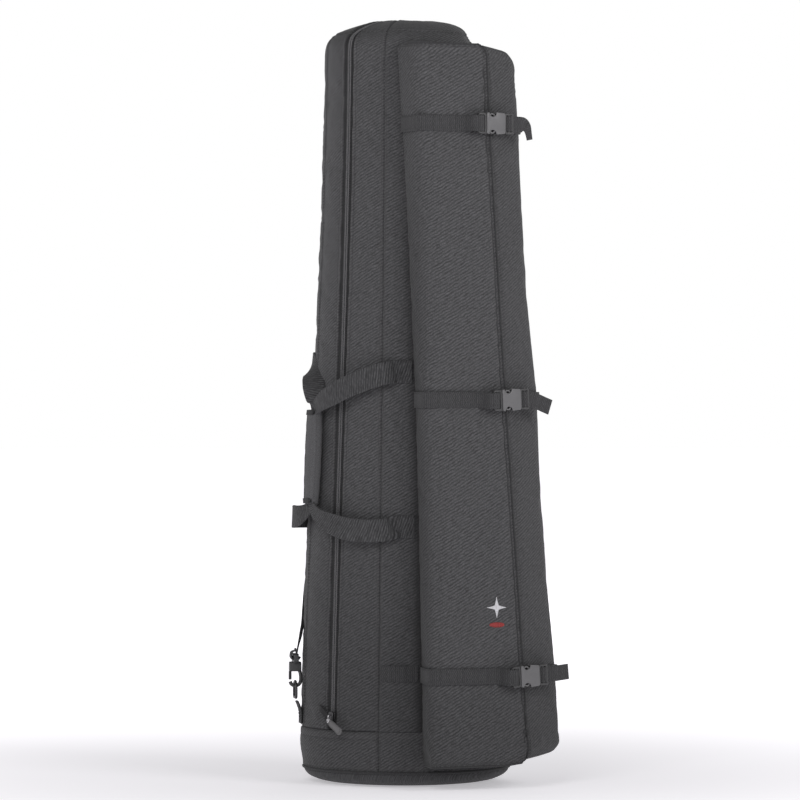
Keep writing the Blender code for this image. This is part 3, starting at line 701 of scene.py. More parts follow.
def plastic(name, level, roughness):
    n = Nodes(name)
    place = n.object_place()
    fine = n.noise(place, 1400.0, 2.0)
    broad = n.noise(place, 60.0, 3.0)
    scratch = n.noise(place, 380.0, 6.0, 0.75)
    colour = n.mix(n.times(broad, 0.5), grey(level), grey(level * 1.35))
    scratched = n.times(n.math("POWER", scratch, 5.0), 0.8, clamp=True)
    colour = n.mix(scratched, colour, grey(level * 2.0))
    rough = n.plus(n.times(fine, 0.14), roughness)
    return n.finish(colour, rough, n.bump(fine, 0.00004, 0.6), specular=0.5)


def metal(name, level, roughness):
    n = Nodes(name)
    place = n.object_place()
    cloud = n.noise(place, 240.0, 5.0, 0.7)
    fine = n.noise(place, 2600.0, 2.0)
    colour = n.mix(n.times(cloud, 0.8), grey(level), grey(level * 0.6))
    rough = n.plus(n.times(cloud, 0.22), roughness)
    return n.finish(colour, rough, n.bump(fine, 0.00002, 0.5), metallic=1.0)


def leather(name, level):
    n = Nodes(name)
    place = n.object_place()
    cells = n.add("ShaderNodeTexVoronoi", feature="DISTANCE_TO_EDGE")
    n.link(place, cells.inputs["Vector"])
    cells.inputs["Scale"].default_value = 900.0
    grain = n.math("POWER", cells.outputs["Distance"], 0.5)
    cloud = n.noise(place, 90.0, 4.0)
    colour = n.mix(cloud, grey(level * 0.8), grey(level * 1.2, 0.02))
    return n.finish(colour, n.plus(n.times(cloud, 0.2), 0.42), n.bump(grain, 0.0001, 0.7))


LINING_WEAVE = 0.0012


def lining(name, level):
    """Smooth woven lining over foam, with a fine plain weave and soft dimples."""
    n = Nodes(name)
    place = n.attribute("cloth", "Vector")
    split = n.add("ShaderNodeSeparateXYZ")
    n.link(place, split.inputs[0])
    waves = 2 * math.pi / LINING_WEAVE
    u, v = (n.math("SINE", n.times(split.outputs[i], waves)) for i in (0, 1))
    weave = n.times(u, v)
    cloud = n.noise(place, 14.0, 4.0)
    colour = n.mix(cloud, grey(level * 0.8), grey(level * 1.2))
    rough = n.plus(n.times(cloud, 0.1), 0.72)
    return n.finish(colour, rough, n.bump(weave, 0.00012), sheen=0.15)


TWILL = woven("twill_polyester", 0.020, 0.100, 0.0035, 29, 0.95, 0.00030, 0.080, thread=0.60, streaks=0.34)
PATCH = woven("twill_patch", 0.020, 0.086, 0.0034, 29, 0.95, 0.00024, 0.066, streaks=0.34)
RIM = woven("base_twill", 0.014, 0.070, 0.0020, 40, 2.4, 0.00026, 0.065)
WEB = woven("webbing_weave", 0.014, 0.070, 0.0024, 25, 1.3, 0.00040, 0.085, herring=0.0025, streaks=0.3)
WEB_COARSE = woven("handle_webbing", 0.008, 0.088, 0.0027, 36, 3.4, 0.00055, 0.100, streaks=0.35)
GRIP_CLOTH = woven("grip_cloth", 0.034, 0.132, 0.0014, 42, 1.6, 0.00018, 0.090, streaks=0.3)
TAPE = woven("zip_tape", 0.010, 0.032, 0.0012, 45, 1.4, 0.00015, 0.050)
BINDING = woven("edge_binding", 0.014, 0.050, 0.0013, 30, 1.2, 0.00020, 0.100)
LINING = lining("inner_lining", 0.055)
THREAD = woven("thread", 0.030, 0.075, 0.0006, 35, 1.0, 0.00008, 0.090)
WHITE_THREAD = woven("thread_white", 0.42, 0.72, 0.0006, 35, 1.0, 0.00010, 0.70)
RED_THREAD = woven("thread_red", 0.10, 0.30, 0.0006, 35, 1.0, 0.00010, 0.30)
for stop, shade in ((0, (0.16, 0.008, 0.008, 1)), (1, (0.42, 0.030, 0.024, 1))):
    for node in RED_THREAD.node_tree.nodes:
        if node.type == "MIX" and not node.inputs[6].is_linked:
            node.inputs[6 + stop].default_value = shade
PLASTIC = plastic("acetal_black", 0.036, 0.36)
# a lighter grey copy of the black acetal, for the socket's front plate and the prongs
PLASTIC_LIGHT = plastic("acetal_light_grey", 0.098, 0.30)
PLASTIC_DARK = plastic("acetal_dark", 0.022, 0.42)
COIL = plastic("zip_coil_nylon", 0.165, 0.34)
STEEL = metal("plated_steel", 0.62, 0.20)
LEATHER = leather("grey_leather", 0.115)
BLACKED = metal("blackened_steel", 0.10, 0.34)


def put(thing, body, slot, *replaced):
    """The piece rides on a body and stands for CAD nodes; slot is not used."""
    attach(thing, body)
    if replaced:
        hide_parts(*replaced)
    return thing


def sew(body, slot, name, line, normals, *sizes):
    """A row of stitches on a body."""
    return put(stitches(name, line, normals, *sizes), body, slot)


# ---------------------------------------------------------------- body panels


def graded(low, high, coarse, marks, offsets):
    """Places from low to high, closer together round each mark."""
    places = list(between(low, high, int(math.ceil((high - low) / coarse)) + 1))
    for mark in marks:
        places += [mark] + [mark + sign * offset for offset in offsets for sign in (-1, 1)]
    places = np.unique(np.round([p for p in places if low <= p <= high], 6))
    keep = np.concatenate(([True], np.diff(places) > 0.02 * coarse))
    return places[keep]


def patch_share(angle):
    """How plainly the lower ring's seam shows round the body: hardly at all across the front."""
    turn = (np.asarray(angle, float) + 180.0) % 360.0 - 180.0
    across = smoothstep(GUSSET_ANGLE - 0.6, GUSSET_ANGLE + 0.6, turn)
    return 1 - 0.86 * across * (1 - smoothstep(FAR_SEAM_ANGLE - 1, FAR_SEAM_ANGLE + 1, turn))


def seam_shape(distance, pucker):
    """Height of the cloth beside a seam: a narrow groove between two folded edges, puckered along it."""
    near = np.abs(distance)
    groove = -SEAM_GROOVE * bell(near, 0.0011)
    shoulder = 0.0004 * bell(near - 0.0032, 0.0018)
    return groove + shoulder + 0.00045 * pucker * bell(near, 0.009)


def folds_low_down(angle_grid, run_grid):
    """Height of the soft folds between the zip and the accessory case, near the foot."""
    reach = smoothstep(ZIP_ANGLE + 4, ZIP_ANGLE + 12, angle_grid) * (1 - smoothstep(-22.0, -12.0, angle_grid))
    reach = reach * smoothstep(0.076, 0.10, run_grid)
    height = 0.0
    for slope, place, width, depth in FOLDS:
        lean = math.radians(slope)
        across = np.radians(angle_grid - ZIP_ANGLE) * R_BASE * math.sin(lean)
        across = across + (run_grid - place) * math.cos(lean)
        height = height + depth * bell(across, width) * reach
    return height


def body_painted_shade(angle_grid, run_grid, radius, body):
    """Painted shade: dark in the crease beside the accessory case, and darker towards the foot."""
    painted_shade = (0.24 if body == "cover" else 0.20) * (1 - smoothstep(0.10, 0.42, run_grid))
    if body == "cover":
        crease = np.minimum(np.radians(angle_grid - case_left_angle(run_grid)) * radius, 0.0)
        low_down = 0.25 + 0.75 * (1 - smoothstep(0.45, 0.85, run_grid))
        beside = (run_grid > CASE_BOTTOM_Z) & (run_grid < CASE_TOP_Z)
        painted_shade = painted_shade + beside * bell(crease, 0.008) * 0.62 * low_down
    return np.clip(painted_shade, 0.0, 1.0)


def body_panel(name, low, high, seams, seed, channels, body, replaced):
    """A padded panel of the body from one edge to the other, blown out between its seams."""
    top = SHOULDER_Z + CROWN_RUN
    bottom = CUP_SEAM_Z + SEAM_GAP
    coarse_angles = between(low, high, int((high - low) / 4.2))
    coarse_runs = between(bottom, top - 0.012, 100)
    angle_grid, run_grid = np.meshgrid(coarse_angles, coarse_runs)
    base = body_point(angle_grid, run_grid)
    held = np.zeros(base.shape[:2], bool)
    held[[0, -1]] = True
    held[:, [0, -1]] = True
    for seam in seams:
        held[:, np.argmin(np.abs(coarse_angles - seam))] = True
    held[np.argmin(np.abs(coarse_runs - CROWN_SEAM_RUN))] = True
    blown = puffed(base, held, BODY_PRESSURE, BODY_PUFF)
    bulge = np.sum((blown - base) * grid_normals(base), axis=-1)

    angles = graded(low, high, 1.6, seams, SEAM_OFFSETS_ANGLE)
    edges = [low + o for o in EDGE_OFFSETS_ANGLE] + [high - o for o in EDGE_OFFSETS_ANGLE]
    angles = np.unique(np.round(np.concatenate((angles, edges)), 4))
    runs = graded(bottom, top, 0.0065, [CROWN_SEAM_RUN, bottom + 0.004], SEAM_OFFSETS_RUN)
    angle_grid, run_grid = np.meshgrid(angles, runs)
    rows_at = np.interp(runs, coarse_runs, np.arange(len(coarse_runs)))
    columns_at = np.interp(angles, coarse_angles, np.arange(len(coarse_angles)))
    bulge = cubic(cubic(bulge, rows_at, 0), columns_at, 1)
    outer = body_point(angle_grid, run_grid)
    radius = np.hypot(outer[..., 0], outer[..., 1])
    middles = np.array([low, *seams, high])
    part = np.clip(np.searchsorted(middles, angles) - 1, 0, len(middles) - 2)
    centre = (middles[part] + middles[part + 1]) / 2
    u = np.radians(angle_grid - centre) * wall_radius(np.minimum(run_grid, SHOULDER_Z)) + part * 0.0371
    cloth = np.stack((u, run_grid, np.zeros_like(u)), axis=-1)

    height = bulge + 0.0007 * ripple(u * 1.5, run_grid, seed, 0.16, 0.05)
    height += 0.00012 * ripple(u, run_grid, seed + 1, 0.03, 0.012)
    wear = np.zeros_like(u)
    fade = smoothstep(0.004, 0.03, radius)
    for number, seam in enumerate(seams):
        distance = np.radians(angle_grid - seam) * radius
        pucker = ripple(u * 0.2, run_grid, seed + 10 + number, 0.05, 0.014)
        height += seam_shape(distance, pucker) * fade
        wear += bell(np.abs(distance) - SEAM_EDGE, 0.0014) * fade
    across_crown = run_grid - CROWN_SEAM_RUN
    pucker = ripple(np.radians(angle_grid) * radius, run_grid * 0.2, seed + 20, 0.04, 0.012)
    height += seam_shape(across_crown, pucker) * 1.3
    wear += bell(np.abs(across_crown) - SEAM_EDGE, 0.0014)
    height += np.where(run_grid < 0.2, seam_shape(run_grid - bottom, pucker) * patch_share(angle_grid), 0.0)
    if body == "cover":
        height += folds_low_down(angle_grid, run_grid)
    for edge, width in zip((low, high), channels):
        distance = radius * np.abs(np.sin(np.radians(angle_grid - edge)))
        distance = np.where(np.abs(angle_grid - edge) < 90, distance, 1.0)
        if width:
            sunk = 1 - smoothstep(width - 0.0009, width + 0.0003, distance)
            fold = bell(distance - width - 0.0016, 0.0012)
            ditch = bell(distance - width - 0.0046, 0.0008)
            height += -ZIP_DEPTH * sunk - bulge * sunk + 0.0006 * fold - 0.0007 * ditch
            wear = wear * (1 - sunk) + 0.8 * fold * (1 - sunk)
            cloth[..., 2] = np.maximum(cloth[..., 2], sunk)
        else:
            height += -0.0013 * bell(distance, 0.0016)
    normals = grid_normals(outer)
    normals[-1] = (0.0, 0.0, 1.0)
    outer = outer + normals * height[..., None]
    inner = body_point(angle_grid, run_grid, WALL)
    shift = COVER_SHIFT if body == "cover" else 0.0
    # painted shade in the crease beside the case and towards the foot
    painted_shade = body_painted_shade(angle_grid, run_grid, radius, body)
    wear = np.clip(wear, 0, 1)
    wall = padded_wall(name, outer + shift, inner + shift, cloth, wear, SHELL_CLOTH, LINING, painted_shade=painted_shade)
    return put(wall, body, "polyester", *replaced)


def shell_cloth():
    """The body's twill, turning to dark tape in the sunk channel beside the zip."""
    made = TWILL.copy()
    made.name = "body_twill"
    tree = made.node_tree
    shader = tree.nodes["Principled BSDF"]
    source = shader.inputs["Base Color"].links[0].from_socket
    attribute = tree.nodes.new("ShaderNodeAttribute")
    attribute.attribute_name = "cloth"
    split = tree.nodes.new("ShaderNodeSeparateXYZ")
    tree.links.new(attribute.outputs["Vector"], split.inputs[0])
    mix = tree.nodes.new("ShaderNodeMix")
    mix.data_type = "RGBA"
    tree.links.new(split.outputs[2], mix.inputs[0])
    tree.links.new(source, mix.inputs[6])
    mix.inputs[7].default_value = grey(0.014)
    tree.links.new(mix.outputs[2], shader.inputs["Base Color"])
    return made


SHELL_CLOTH = shell_cloth()


def seam_thread(name, tree, angle, low_run, high_run, body):
    """Two lines of thread beside a seam that runs up the body."""
    runs = between(low_run, high_run, 220)
    rows = []
    for side in (-1, 1):
        turn = angle + side * np.degrees(SEAM_THREAD_ASIDE / wall_radius(np.minimum(runs, SHOULDER_Z)))
        line, normals = onto(tree, body_point(turn, runs))
        rows.append(stitches(f"{name}_{'a' if side < 0 else 'b'}", line, normals))
    return put(joined(name, rows), body, "polyester")


def add_body():
    back_seams = [180 - BACK_SEAM_OFF, 180 + BACK_SEAM_OFF, 360 + SIDE_ANGLE]
    back = body_panel("back_panel", HINGE_ANGLE, 360 + ZIP_ANGLE, back_seams, 3, (0.0, ZIP_CHANNEL_SHELL),
                      "back_shell", ["back_shell", "back_shell_foam"])
    front = body_panel("front_panel", ZIP_ANGLE, HINGE_ANGLE, [GUSSET_ANGLE, FAR_SEAM_ANGLE], 5,
                       (ZIP_CHANNEL_COVER, 0.0), "cover", ["front_cover", "front_cover_foam"])
    back_tree = tree_of(back)
    front_tree = tree_of(front)
    top = SHOULDER_Z + 0.034
    for name, tree, angle, owner in (("side_seam_thread", back_tree, 360 + SIDE_ANGLE, "back_shell"),
                                     ("gusset_seam_thread", front_tree, GUSSET_ANGLE, "cover"),
                                     ("far_seam_thread", front_tree, FAR_SEAM_ANGLE, "cover")):
        seam_thread(name, tree, angle, CUP_SEAM_Z + 0.004, top, owner)
    for start, end, tree, owner in ((ZIP_ANGLE + 4, HINGE_ANGLE - 2, front_tree, "cover"),
                                    (HINGE_ANGLE + 2, 360 + ZIP_ANGLE - 5, back_tree, "back_shell")):
        angles = between(start, end, 160)
        for number, offset in enumerate((-0.0042, 0.0042)):
            line, normals = onto(tree, body_point(angles, CROWN_SEAM_RUN + offset))
            sew(owner, "polyester", f"crown_thread_{owner}_{number}", line, normals)
    for angle, channel, tree, owner in ((ZIP_ANGLE, ZIP_CHANNEL_COVER, front_tree, "cover"),
                                        (360 + ZIP_ANGLE, -ZIP_CHANNEL_SHELL, back_tree, "back_shell")):
        runs = between(CUP_SEAM_Z + 0.006, SHOULDER_Z + 0.06, 240)
        reach = channel + math.copysign(0.0046, channel)
        turn = angle + np.degrees(reach / wall_radius(np.minimum(runs, SHOULDER_Z)))
        line, normals = onto(tree, body_point(turn, runs))
        sew(owner, "polyester", f"zip_seam_thread_{owner}", line, normals)
    return front_tree


def add_hinge_strip():
    """A folded strip of cloth sewn over the far seam."""
    runs = between(CUP_SEAM_Z + 0.006, SHOULDER_Z + 0.045, 120)
    section = ((-0.0085, 0.0006), (-0.005, 0.0022), (0.0, 0.0030), (0.005, 0.0022), (0.0085, 0.0006),
               (0.0085, -0.0004), (0.0, 0.0012), (-0.0085, -0.0004))
    rings = []
    for run in runs:
        radius = wall_radius(min(run, SHOULDER_Z))
        turns = [(HINGE_ANGLE + math.degrees(aside / radius), lift) for aside, lift in section]
        rings.append([body_point(turn, run, -lift) for turn, lift in turns])
    strip = loft("far_seam_binding", rings, BINDING, sharp=70)
    middle = body_point(HINGE_ANGLE, 0.5)
    tangent = unit(body_point(HINGE_ANGLE + 1, 0.5) - middle)
    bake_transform(strip)


def add_base():
    """The ring of cloth above the base, its seams plain to see except across the front."""
    both_ways = SEAM_OFFSETS_ANGLE + tuple(-o for o in SEAM_OFFSETS_ANGLE)
    near_seam = 360.0 + GUSSET_ANGLE + np.array((*both_ways, 0.0))
    angles = np.unique(np.round(np.concatenate((between(0, 360, 241)[:-1], near_seam)), 4))
    heights = (0.0184, 0.0192, 0.0202, 0.0225, 0.027, 0.033, 0.040, 0.047, 0.053, 0.0575, 0.0592, 0.060,
               0.0608, 0.0625, 0.0655, 0.068, 0.0692, 0.0698)
    angle_grid, z_grid = np.meshgrid(angles, heights)
    outer = body_point(angle_grid, z_grid)
    around_length = np.radians(angle_grid) * R_BASE
    pucker = ripple(around_length, z_grid * 0.3, 31, 0.05, 0.014)
    height = 0.0010 * np.sin(np.pi * (z_grid - BASE_SEAM_Z) / (CUP_SEAM_Z - BASE_SEAM_Z))
    plain = patch_share(angle_grid)
    height = height + seam_shape(z_grid - BASE_SEAM_Z, pucker)
    height = height + seam_shape(z_grid - CUP_SEAM_Z, -pucker) * plain
    height += -0.0007 * bell(z_grid - 0.060, 0.0009) * plain + 0.0005 * pucker
    height += seam_shape(np.radians(angle_grid - 360.0 - GUSSET_ANGLE) * R_BASE, pucker)
    outer = outer + unit(outer * (1, 1, 0)) * height[..., None]
    inner = body_point(angle_grid, z_grid, WALL)
    cloth = np.stack((around_length, z_grid + 0.3, np.zeros_like(z_grid)), -1)
    wear = bell(z_grid - 0.064, 0.002) + bell(z_grid - 0.022, 0.002)
    cup = padded_wall("lower_ring", outer, inner, cloth, np.clip(wear, 0, 1), PATCH, LINING, closed_round=True)
    put(cup, "back_shell", "polyester", "lower_cup", "lower_cup_foam")
    tree = tree_of(cup)
    rows = ((0.060, FAR_SEAM_ANGLE, 360.0 + GUSSET_ANGLE), (0.0225, -180.0, 180.0))
    for number, (z, low, high) in enumerate(rows):
        line, normals = onto(tree, body_point(between(low, high, 300), z))
        sew("back_shell", "polyester", f"lower_ring_thread_{number}", line, normals)
    low, high = BASE_SEAM_Z + 0.004, CUP_SEAM_Z - 0.003
    seam_thread("lower_ring_seam_thread", tree, GUSSET_ANGLE, low, high, "back_shell")
    add_base_cap(angles)


def add_base_cap(angles):
    """The rounded bottom, flat where it rests, and the cord sewn in round it."""
    puckers = ripple(np.radians(angles) * R_BASE, 0.0 * angles, 37, 0.03, 0.011)
    flattened = radius_at(angles, BASE_SEAM_Z) / R_BASE
    rows = []
    for turn in np.radians([0, 6, 13, 21, 30, 40, 50, 60, 70, 80, 90]):
        reach = REST_RADIUS + (R_BASE - REST_RADIUS) * math.cos(turn)
        fold = 0.0011 * math.sin(turn * 2) ** 2 * puckers
        share = flattened * (1 - (BASE_TUCK - 0.001) * left_share(angles) * math.cos(turn))
        hem = 0.0008 * (turn < 0.05)
        rows.append(around(angles, reach * share + fold - hem, BASE_SEAM_Z * (1 - math.sin(turn))))
    for share in (0.8, 0.5, 0.2, 0.0):
        rows.append(around(angles, REST_RADIUS * share * flattened, 0.0))
    outer = np.array(rows)[::-1]
    inner = outer * (0.93, 0.93, 0.0)
    inner[..., 2] = np.maximum(outer[..., 2] * 0.6, 0.0) + 0.0045
    cloth = np.stack((outer[..., 0], outer[..., 1] + outer[..., 2], np.zeros(outer.shape[:2])), -1)
    wear = np.zeros(outer.shape[:2])
    wear[5:9] = 0.4
    cap = padded_wall("base_cap_cloth", outer, inner, cloth, wear, RIM, LINING, closed_round=True)
    put(cap, "back_shell", "base_cloth", "base_cap", "base_foam")
    bead = body_point(between(0, 360, 181)[:-1], BASE_SEAM_Z + 0.0006, -0.0006)
    cord = sweep("base_piping", bead, unit(bead * (1, 1, 0)), circle(0.0017, 8), BINDING, closed=True)
    put(cord, "back_shell", "base_cloth")


# ---------------------------------------------------------------- accessory case


def case_thickness(z):
    return 0.065 - 0.0181 * z


def case_left_angle(z):
    return -10.6 - 14.0 * (z / 0.92) ** 2.5


def case_right_x(z):
    return 0.0549 + 0.0443 * (0.92 - z) - 0.003 * math.sin(math.pi * z / 0.95)


def case_outer_x(z):
    return 0.1137 + 0.0575 * (0.90 - z) + 0.0012 * math.sin(math.pi * z)


def case_corners(z, lift=CASE_LIFT):
    """Crease, front left, front right, outer right and right crease of the case's section at a height."""
    radius = float(wall_radius(min(z, SHOULDER_Z)))
    back = radius + CASE_CLEARANCE + lift
    front = -(radius + case_thickness(z))
    outer = np.array((case_outer_x(z), -(radius + 0.008), z))
    left = around(case_left_angle(z), back, z)
    right = around(CASE_RIGHT_ANGLE, back, z)
    return np.array([left, (CASE_LEFT_X, front, z), (case_right_x(z), front, z), outer, right])


def offset_open(corners, distance):
    """The corners moved out by a distance, the path running anticlockwise seen from above."""
    result = []
    for i, corner in enumerate(corners):
        normals = []
        for a, b in ((i - 1, i), (i, i + 1)):
            if a >= 0 and b < len(corners):
                step = corners[b] - corners[a]
                normals.append(unit((step[1], -step[0], 0)))
        mitre = unit(sum(normals))
        result.append(corner + mitre * (distance / max(float(mitre @ normals[0]), 0.3)))
    return np.array(result)


def case_section(z, distance=0.0):
    """The case's outline from crease to crease, with round corners, as evenly placed points."""
    corners = offset_open(case_corners(z), distance) if distance else case_corners(z)
    points = [corners[0]]
    for i in range(1, 5):
        if i < 4:
            back = unit(corners[i - 1] - corners[i])
            ahead = unit(corners[i + 1] - corners[i])
            half = math.acos(max(-1.0, min(1.0, float(back @ ahead)))) / 2
            reach = max(CORNER_RADII[i] + distance, 0.001) / math.tan(half)
            start, end = corners[i] + back * reach, corners[i] + ahead * reach
        else:
            start = corners[4]
        last = points[-1]
        points += [last + (start - last) * k / SIDE_STEPS[i - 1] for k in range(1, SIDE_STEPS[i - 1] + 1)]
        if i < 4:
            for k in range(1, CORNER_STEPS + 1):
                t = k / CORNER_STEPS
                points.append(start * (1 - t) ** 2 + corners[i] * 2 * t * (1 - t) + end * t * t)
    return np.array(points)


def case_ring(z):
    """The whole closed section: the outline, then the back along the body."""
    outline = case_section(z)
    level = min(z, SHOULDER_Z)
    radius = float(wall_radius(level)) + CASE_CLEARANCE
    angles = between(CASE_RIGHT_ANGLE, case_left_angle(z), BACK_STEPS + 2)[1:-1]
    return np.concatenate((outline, around(angles, radius, z)))


def case_end_pull(columns, gap):
    """How far the section's places move in near an end: the front right and outer corners round off."""

    def rounding(soft):
        return 1 - math.sqrt(max(1 - (1 - min(gap / soft, 1.0)) ** 2, 0.0))

    across = np.clip((columns - PIPING_COLUMN) / (OUTER_COLUMN - PIPING_COLUMN), 0.0, 1.0)
    front = np.where(columns < PIPING_COLUMN, bell(columns - PIPING_COLUMN, 5.0), (1 - across) ** 4)
    outer = np.where(columns > OUTER_COLUMN, bell(columns - OUTER_COLUMN, 9.0), across)
    pull = np.outer(front * rounding(0.016), (-0.0130, 0.0, 0.0))
    return pull + np.outer(outer * rounding(0.026), (-0.0190, -0.004, 0.0))


def case_end_drop(columns, z):
    """How far the ends slope: little along the front, more round the outer corner."""
    last = len(case_section(0.5)) - 1
    places = (0, FOLD_COLUMN, PIPING_COLUMN - 7, PIPING_COLUMN, OUTER_COLUMN, last, last + BACK_STEPS)
    top = np.interp(columns, places, (0, 0, 0.0008, 0.0004, 0.0070, 0.0110, 0))
    low = np.interp(columns, places, (0, 0, 0.0016, 0.0072, 0.0155, 0.0155, 0))
    up = np.clip((z - CASE_TOP_Z + END_REACH) / END_REACH, 0.0, 1.0) ** 2
    down = np.clip((CASE_BOTTOM_Z + END_REACH - z) / END_REACH, 0.0, 1.0) ** 2
    return low * down - top * up


def case_end_taper(ring, z):
    """The section near an end of the case, its corners rounded off and its end sloped."""
    columns = np.arange(len(ring))
    shaped = ring + case_end_pull(columns, min(z - CASE_BOTTOM_Z, CASE_TOP_Z - z))
    shaped[:, 2] += case_end_drop(columns, z)
    return shaped


def add_case():
    """The accessory case, its panels blown out between the piping, the fold and the straps."""
    heights = between(CASE_BOTTOM_Z + CAP_ROUND, CASE_TOP_Z - CAP_ROUND, 104)
    body = np.array([case_end_taper(case_ring(z), z) for z in heights])
    columns = body.shape[1]
    held = np.zeros(body.shape[:2], bool)
    held[[0, 1, -2, -1]] = True
    held[:, [0, PIPING_COLUMN, PIPING_COLUMN - 1, PIPING_COLUMN + 1]] = True
    held[:, len(case_section(0.5)) - 1:] = True
    for z in STRAPS.values():
        held[np.abs(heights - z) < 0.009] = True
    blown = puffed(body, held, CASE_PRESSURE, CASE_PUFF, wrap=True)

    places = np.unique(np.round(np.concatenate((
        between(0, columns, 2 * columns + 1)[:-1],
        PIPING_COLUMN + between(-2.4, 2.4, 25))), 4))
    rows = between(0, len(heights) - 1, 190)
    dense = cubic(cubic(blown, rows, 0), places, 1, wrap=True)
    z_grid = dense[..., 2]
    normals = grid_normals(dense, wrap=True)
    step = np.linalg.norm(np.roll(dense, -1, 1) - dense, axis=-1)
    girth = np.concatenate((np.zeros((len(rows), 1)), np.cumsum(step, axis=1)[:, :-1]), axis=1)
    at_piping = np.argmin(np.abs(places - PIPING_COLUMN))
    u = girth - girth[:, at_piping : at_piping + 1]
    pucker = ripple(u * 0.2, z_grid, 51, 0.05, 0.013)
    height = seam_shape(np.abs(u) - SEAM_EDGE, pucker) * (np.abs(u) < 0.02)
    height += 0.0008 * ripple(u, z_grid * 0.7, 53, 0.22, 0.07) + 0.00013 * ripple(u, z_grid, 54, 0.03, 0.012)
    for z in STRAPS.values():
        height += -0.0006 * bell(z_grid - z, 0.013)
    low_fold = bell((u + 0.012) * 0.6 + (z_grid - 0.090) * 0.8, 0.010)
    height += -0.0011 * low_fold * (u < 0) * bell(z_grid - 0.10, 0.05)
    dense = dense + normals * height[..., None]
    wear = bell(np.abs(u) - 0.0055, 0.0016) * 0.8
    cloth = np.stack((u, z_grid, np.zeros_like(u)), -1)

    levels = [dense]
    flats = [cloth]
    for end, sign in ((0, -1.0), (-1, 1.0)):
        rim = dense[end]
        middle = rim.mean(axis=0)
        caps = []
        for turn in (18, 36, 54, 72, 90):
            angle = math.radians(turn)
            inset = CAP_ROUND * (1 - math.cos(angle))
            inward = unit((middle - rim) * (1, 1, 0))
            rise = CAP_ROUND * math.sin(angle)
            turned = case_end_pull(places, CAP_ROUND - rise) - case_end_pull(places, CAP_ROUND)
            caps.append(rim + turned + inward * inset + np.array((0, 0, sign * rise)))
        edge = caps[-1]
        for share in (0.86, 0.66, 0.42, 0.2, 0.04):
            crown = 0.0020 * (1 - share * share)
            caps.append(middle + (edge - middle) * share + np.array((0, 0, sign * crown)))
        caps = np.array(caps)
        flat = np.stack((caps[..., 0], caps[..., 1] + 0.2 * caps[..., 2], np.zeros(caps.shape[:2])), -1)
        levels = [caps[::-1], *levels] if sign < 0 else [*levels, caps]
        flats = [flat[::-1], *flats] if sign < 0 else [*flats, flat]
    rings = np.concatenate(levels)
    cloth = np.concatenate(flats)
    count, sides = rings.shape[:2]
    worn = np.zeros((count, sides))
    worn[10:-10] = wear
    faces = capped_tube(grid_index(count, sides, wrap=True))
    # Painted shade: dark on the case's left side where it rolls into the crease, most of all low down; a little
    # darker over the whole side past the piping; and darker near the foot.
    fold_line = places[None, :] / FOLD_COLUMN
    low_down = 0.30 + 0.70 * (1 - smoothstep(0.50, 0.88, rings[..., 2]))
    painted_shade = 0.66 * (1 - smoothstep(0.15, 1.15, np.minimum(fold_line, 2.0))) * low_down
    painted_shade = painted_shade + 0.16 * (places[None, :] > PIPING_COLUMN) + 0.20 * (1 - smoothstep(0.06, 0.20, rings[..., 2]))
    painted_shade = np.clip(painted_shade, 0.0, 1.0)
    case = new_mesh("accessory_case", rings.reshape(-1, 3), faces, TWILL, cloth, worn, painted_shade=painted_shade)
    weld(case, sharp=60)
    put(case, "cover", "polyester", "accessory_shell", "accessory_back_panel")
    tree = tree_of(case)
    add_case_edges(tree, places, rings)
    return tree


def add_case_edges(tree, places, rings):
    """The piping round the front right edge and its ends, its stitches, a thin second line and a tab."""
    at_piping = np.argmin(np.abs(places - PIPING_COLUMN))
    from_fold = np.searchsorted(places, 2.0)
    edge_low, edge_high = rings[7], rings[-8]
    ends = (edge_low[from_fold:at_piping], edge_high[from_fold:at_piping][::-1])
    line = np.concatenate((ends[0], rings[7:-7, at_piping], ends[1]))
    line, normals = onto(tree, smooth_path(line[::2], 0.0025), 0.0004)
    piping = sweep("case_piping", line, normals, circle(0.0013, 8), BINDING)
    put(piping, "cover", "polyester", "accessory_piping")
    aside = unit(np.cross(np.gradient(line, axis=0), normals))
    for title, offset in (("a", -0.0056), ("b", 0.0056)):
        spots, outs = onto(tree, line + aside * offset)
        sew("cover", "polyester", f"case_piping_thread_{title}", spots, outs)
    level_part = line[(line[:, 2] > CASE_BOTTOM_Z + 0.03) & (line[:, 2] < CASE_TOP_Z - 0.03)]
    outs = onto(tree, level_part)[1]
    aside = unit(np.cross(np.gradient(level_part, axis=0), outs))
    spots, outs = onto(tree, level_part - aside * 0.0046, 0.0001)
    put(sweep("case_inner_piping", spots, outs, circle(0.0008, 6), BINDING), "cover", "polyester")
    tab_ends = np.searchsorted(places, (4.0, FOLD_COLUMN + 4.0))
    tab = smooth_path(edge_high[slice(*tab_ends)], 0.002)
    spots, outs = onto(tree, tab, 0.0008)
    rise = np.sin(np.pi * between(0, 1, len(spots))) ** 0.35
    spots = spots + np.array((0, 0, 0.0020)) * rise[:, None]
    put(sweep("case_top_tab", spots, outs, circle(1.0, 8) * (0.0022, 0.0015), BINDING), "cover", "polyester")


# ---------------------------------------------------------------- straps and buckles


def buckle_frame(z, tilt=0.0):
    """(place, along, out, up) of a buckle, tilted in its own plane."""
    corner = offset_open(case_corners(z, 0.0), 0.0045)[2]
    turn = math.radians(BUCKLE_TURN)
    lean = math.radians(tilt)
    level = np.array((math.cos(turn), math.sin(turn), 0.0))
    out = np.array((math.sin(turn), -math.cos(turn), 0.0))
    upright = np.array((0.0, 0.0, 1.0))
    along = level * math.cos(lean) + upright * math.sin(lean)
    up = upright * math.cos(lean) - level * math.sin(lean)
    return np.array((corner[0], corner[1], z)), along, out, up


def local(frame_of, x, y, z=0.0):
    place, along, out, up = frame_of
    return place + along * x + out * y + up * z


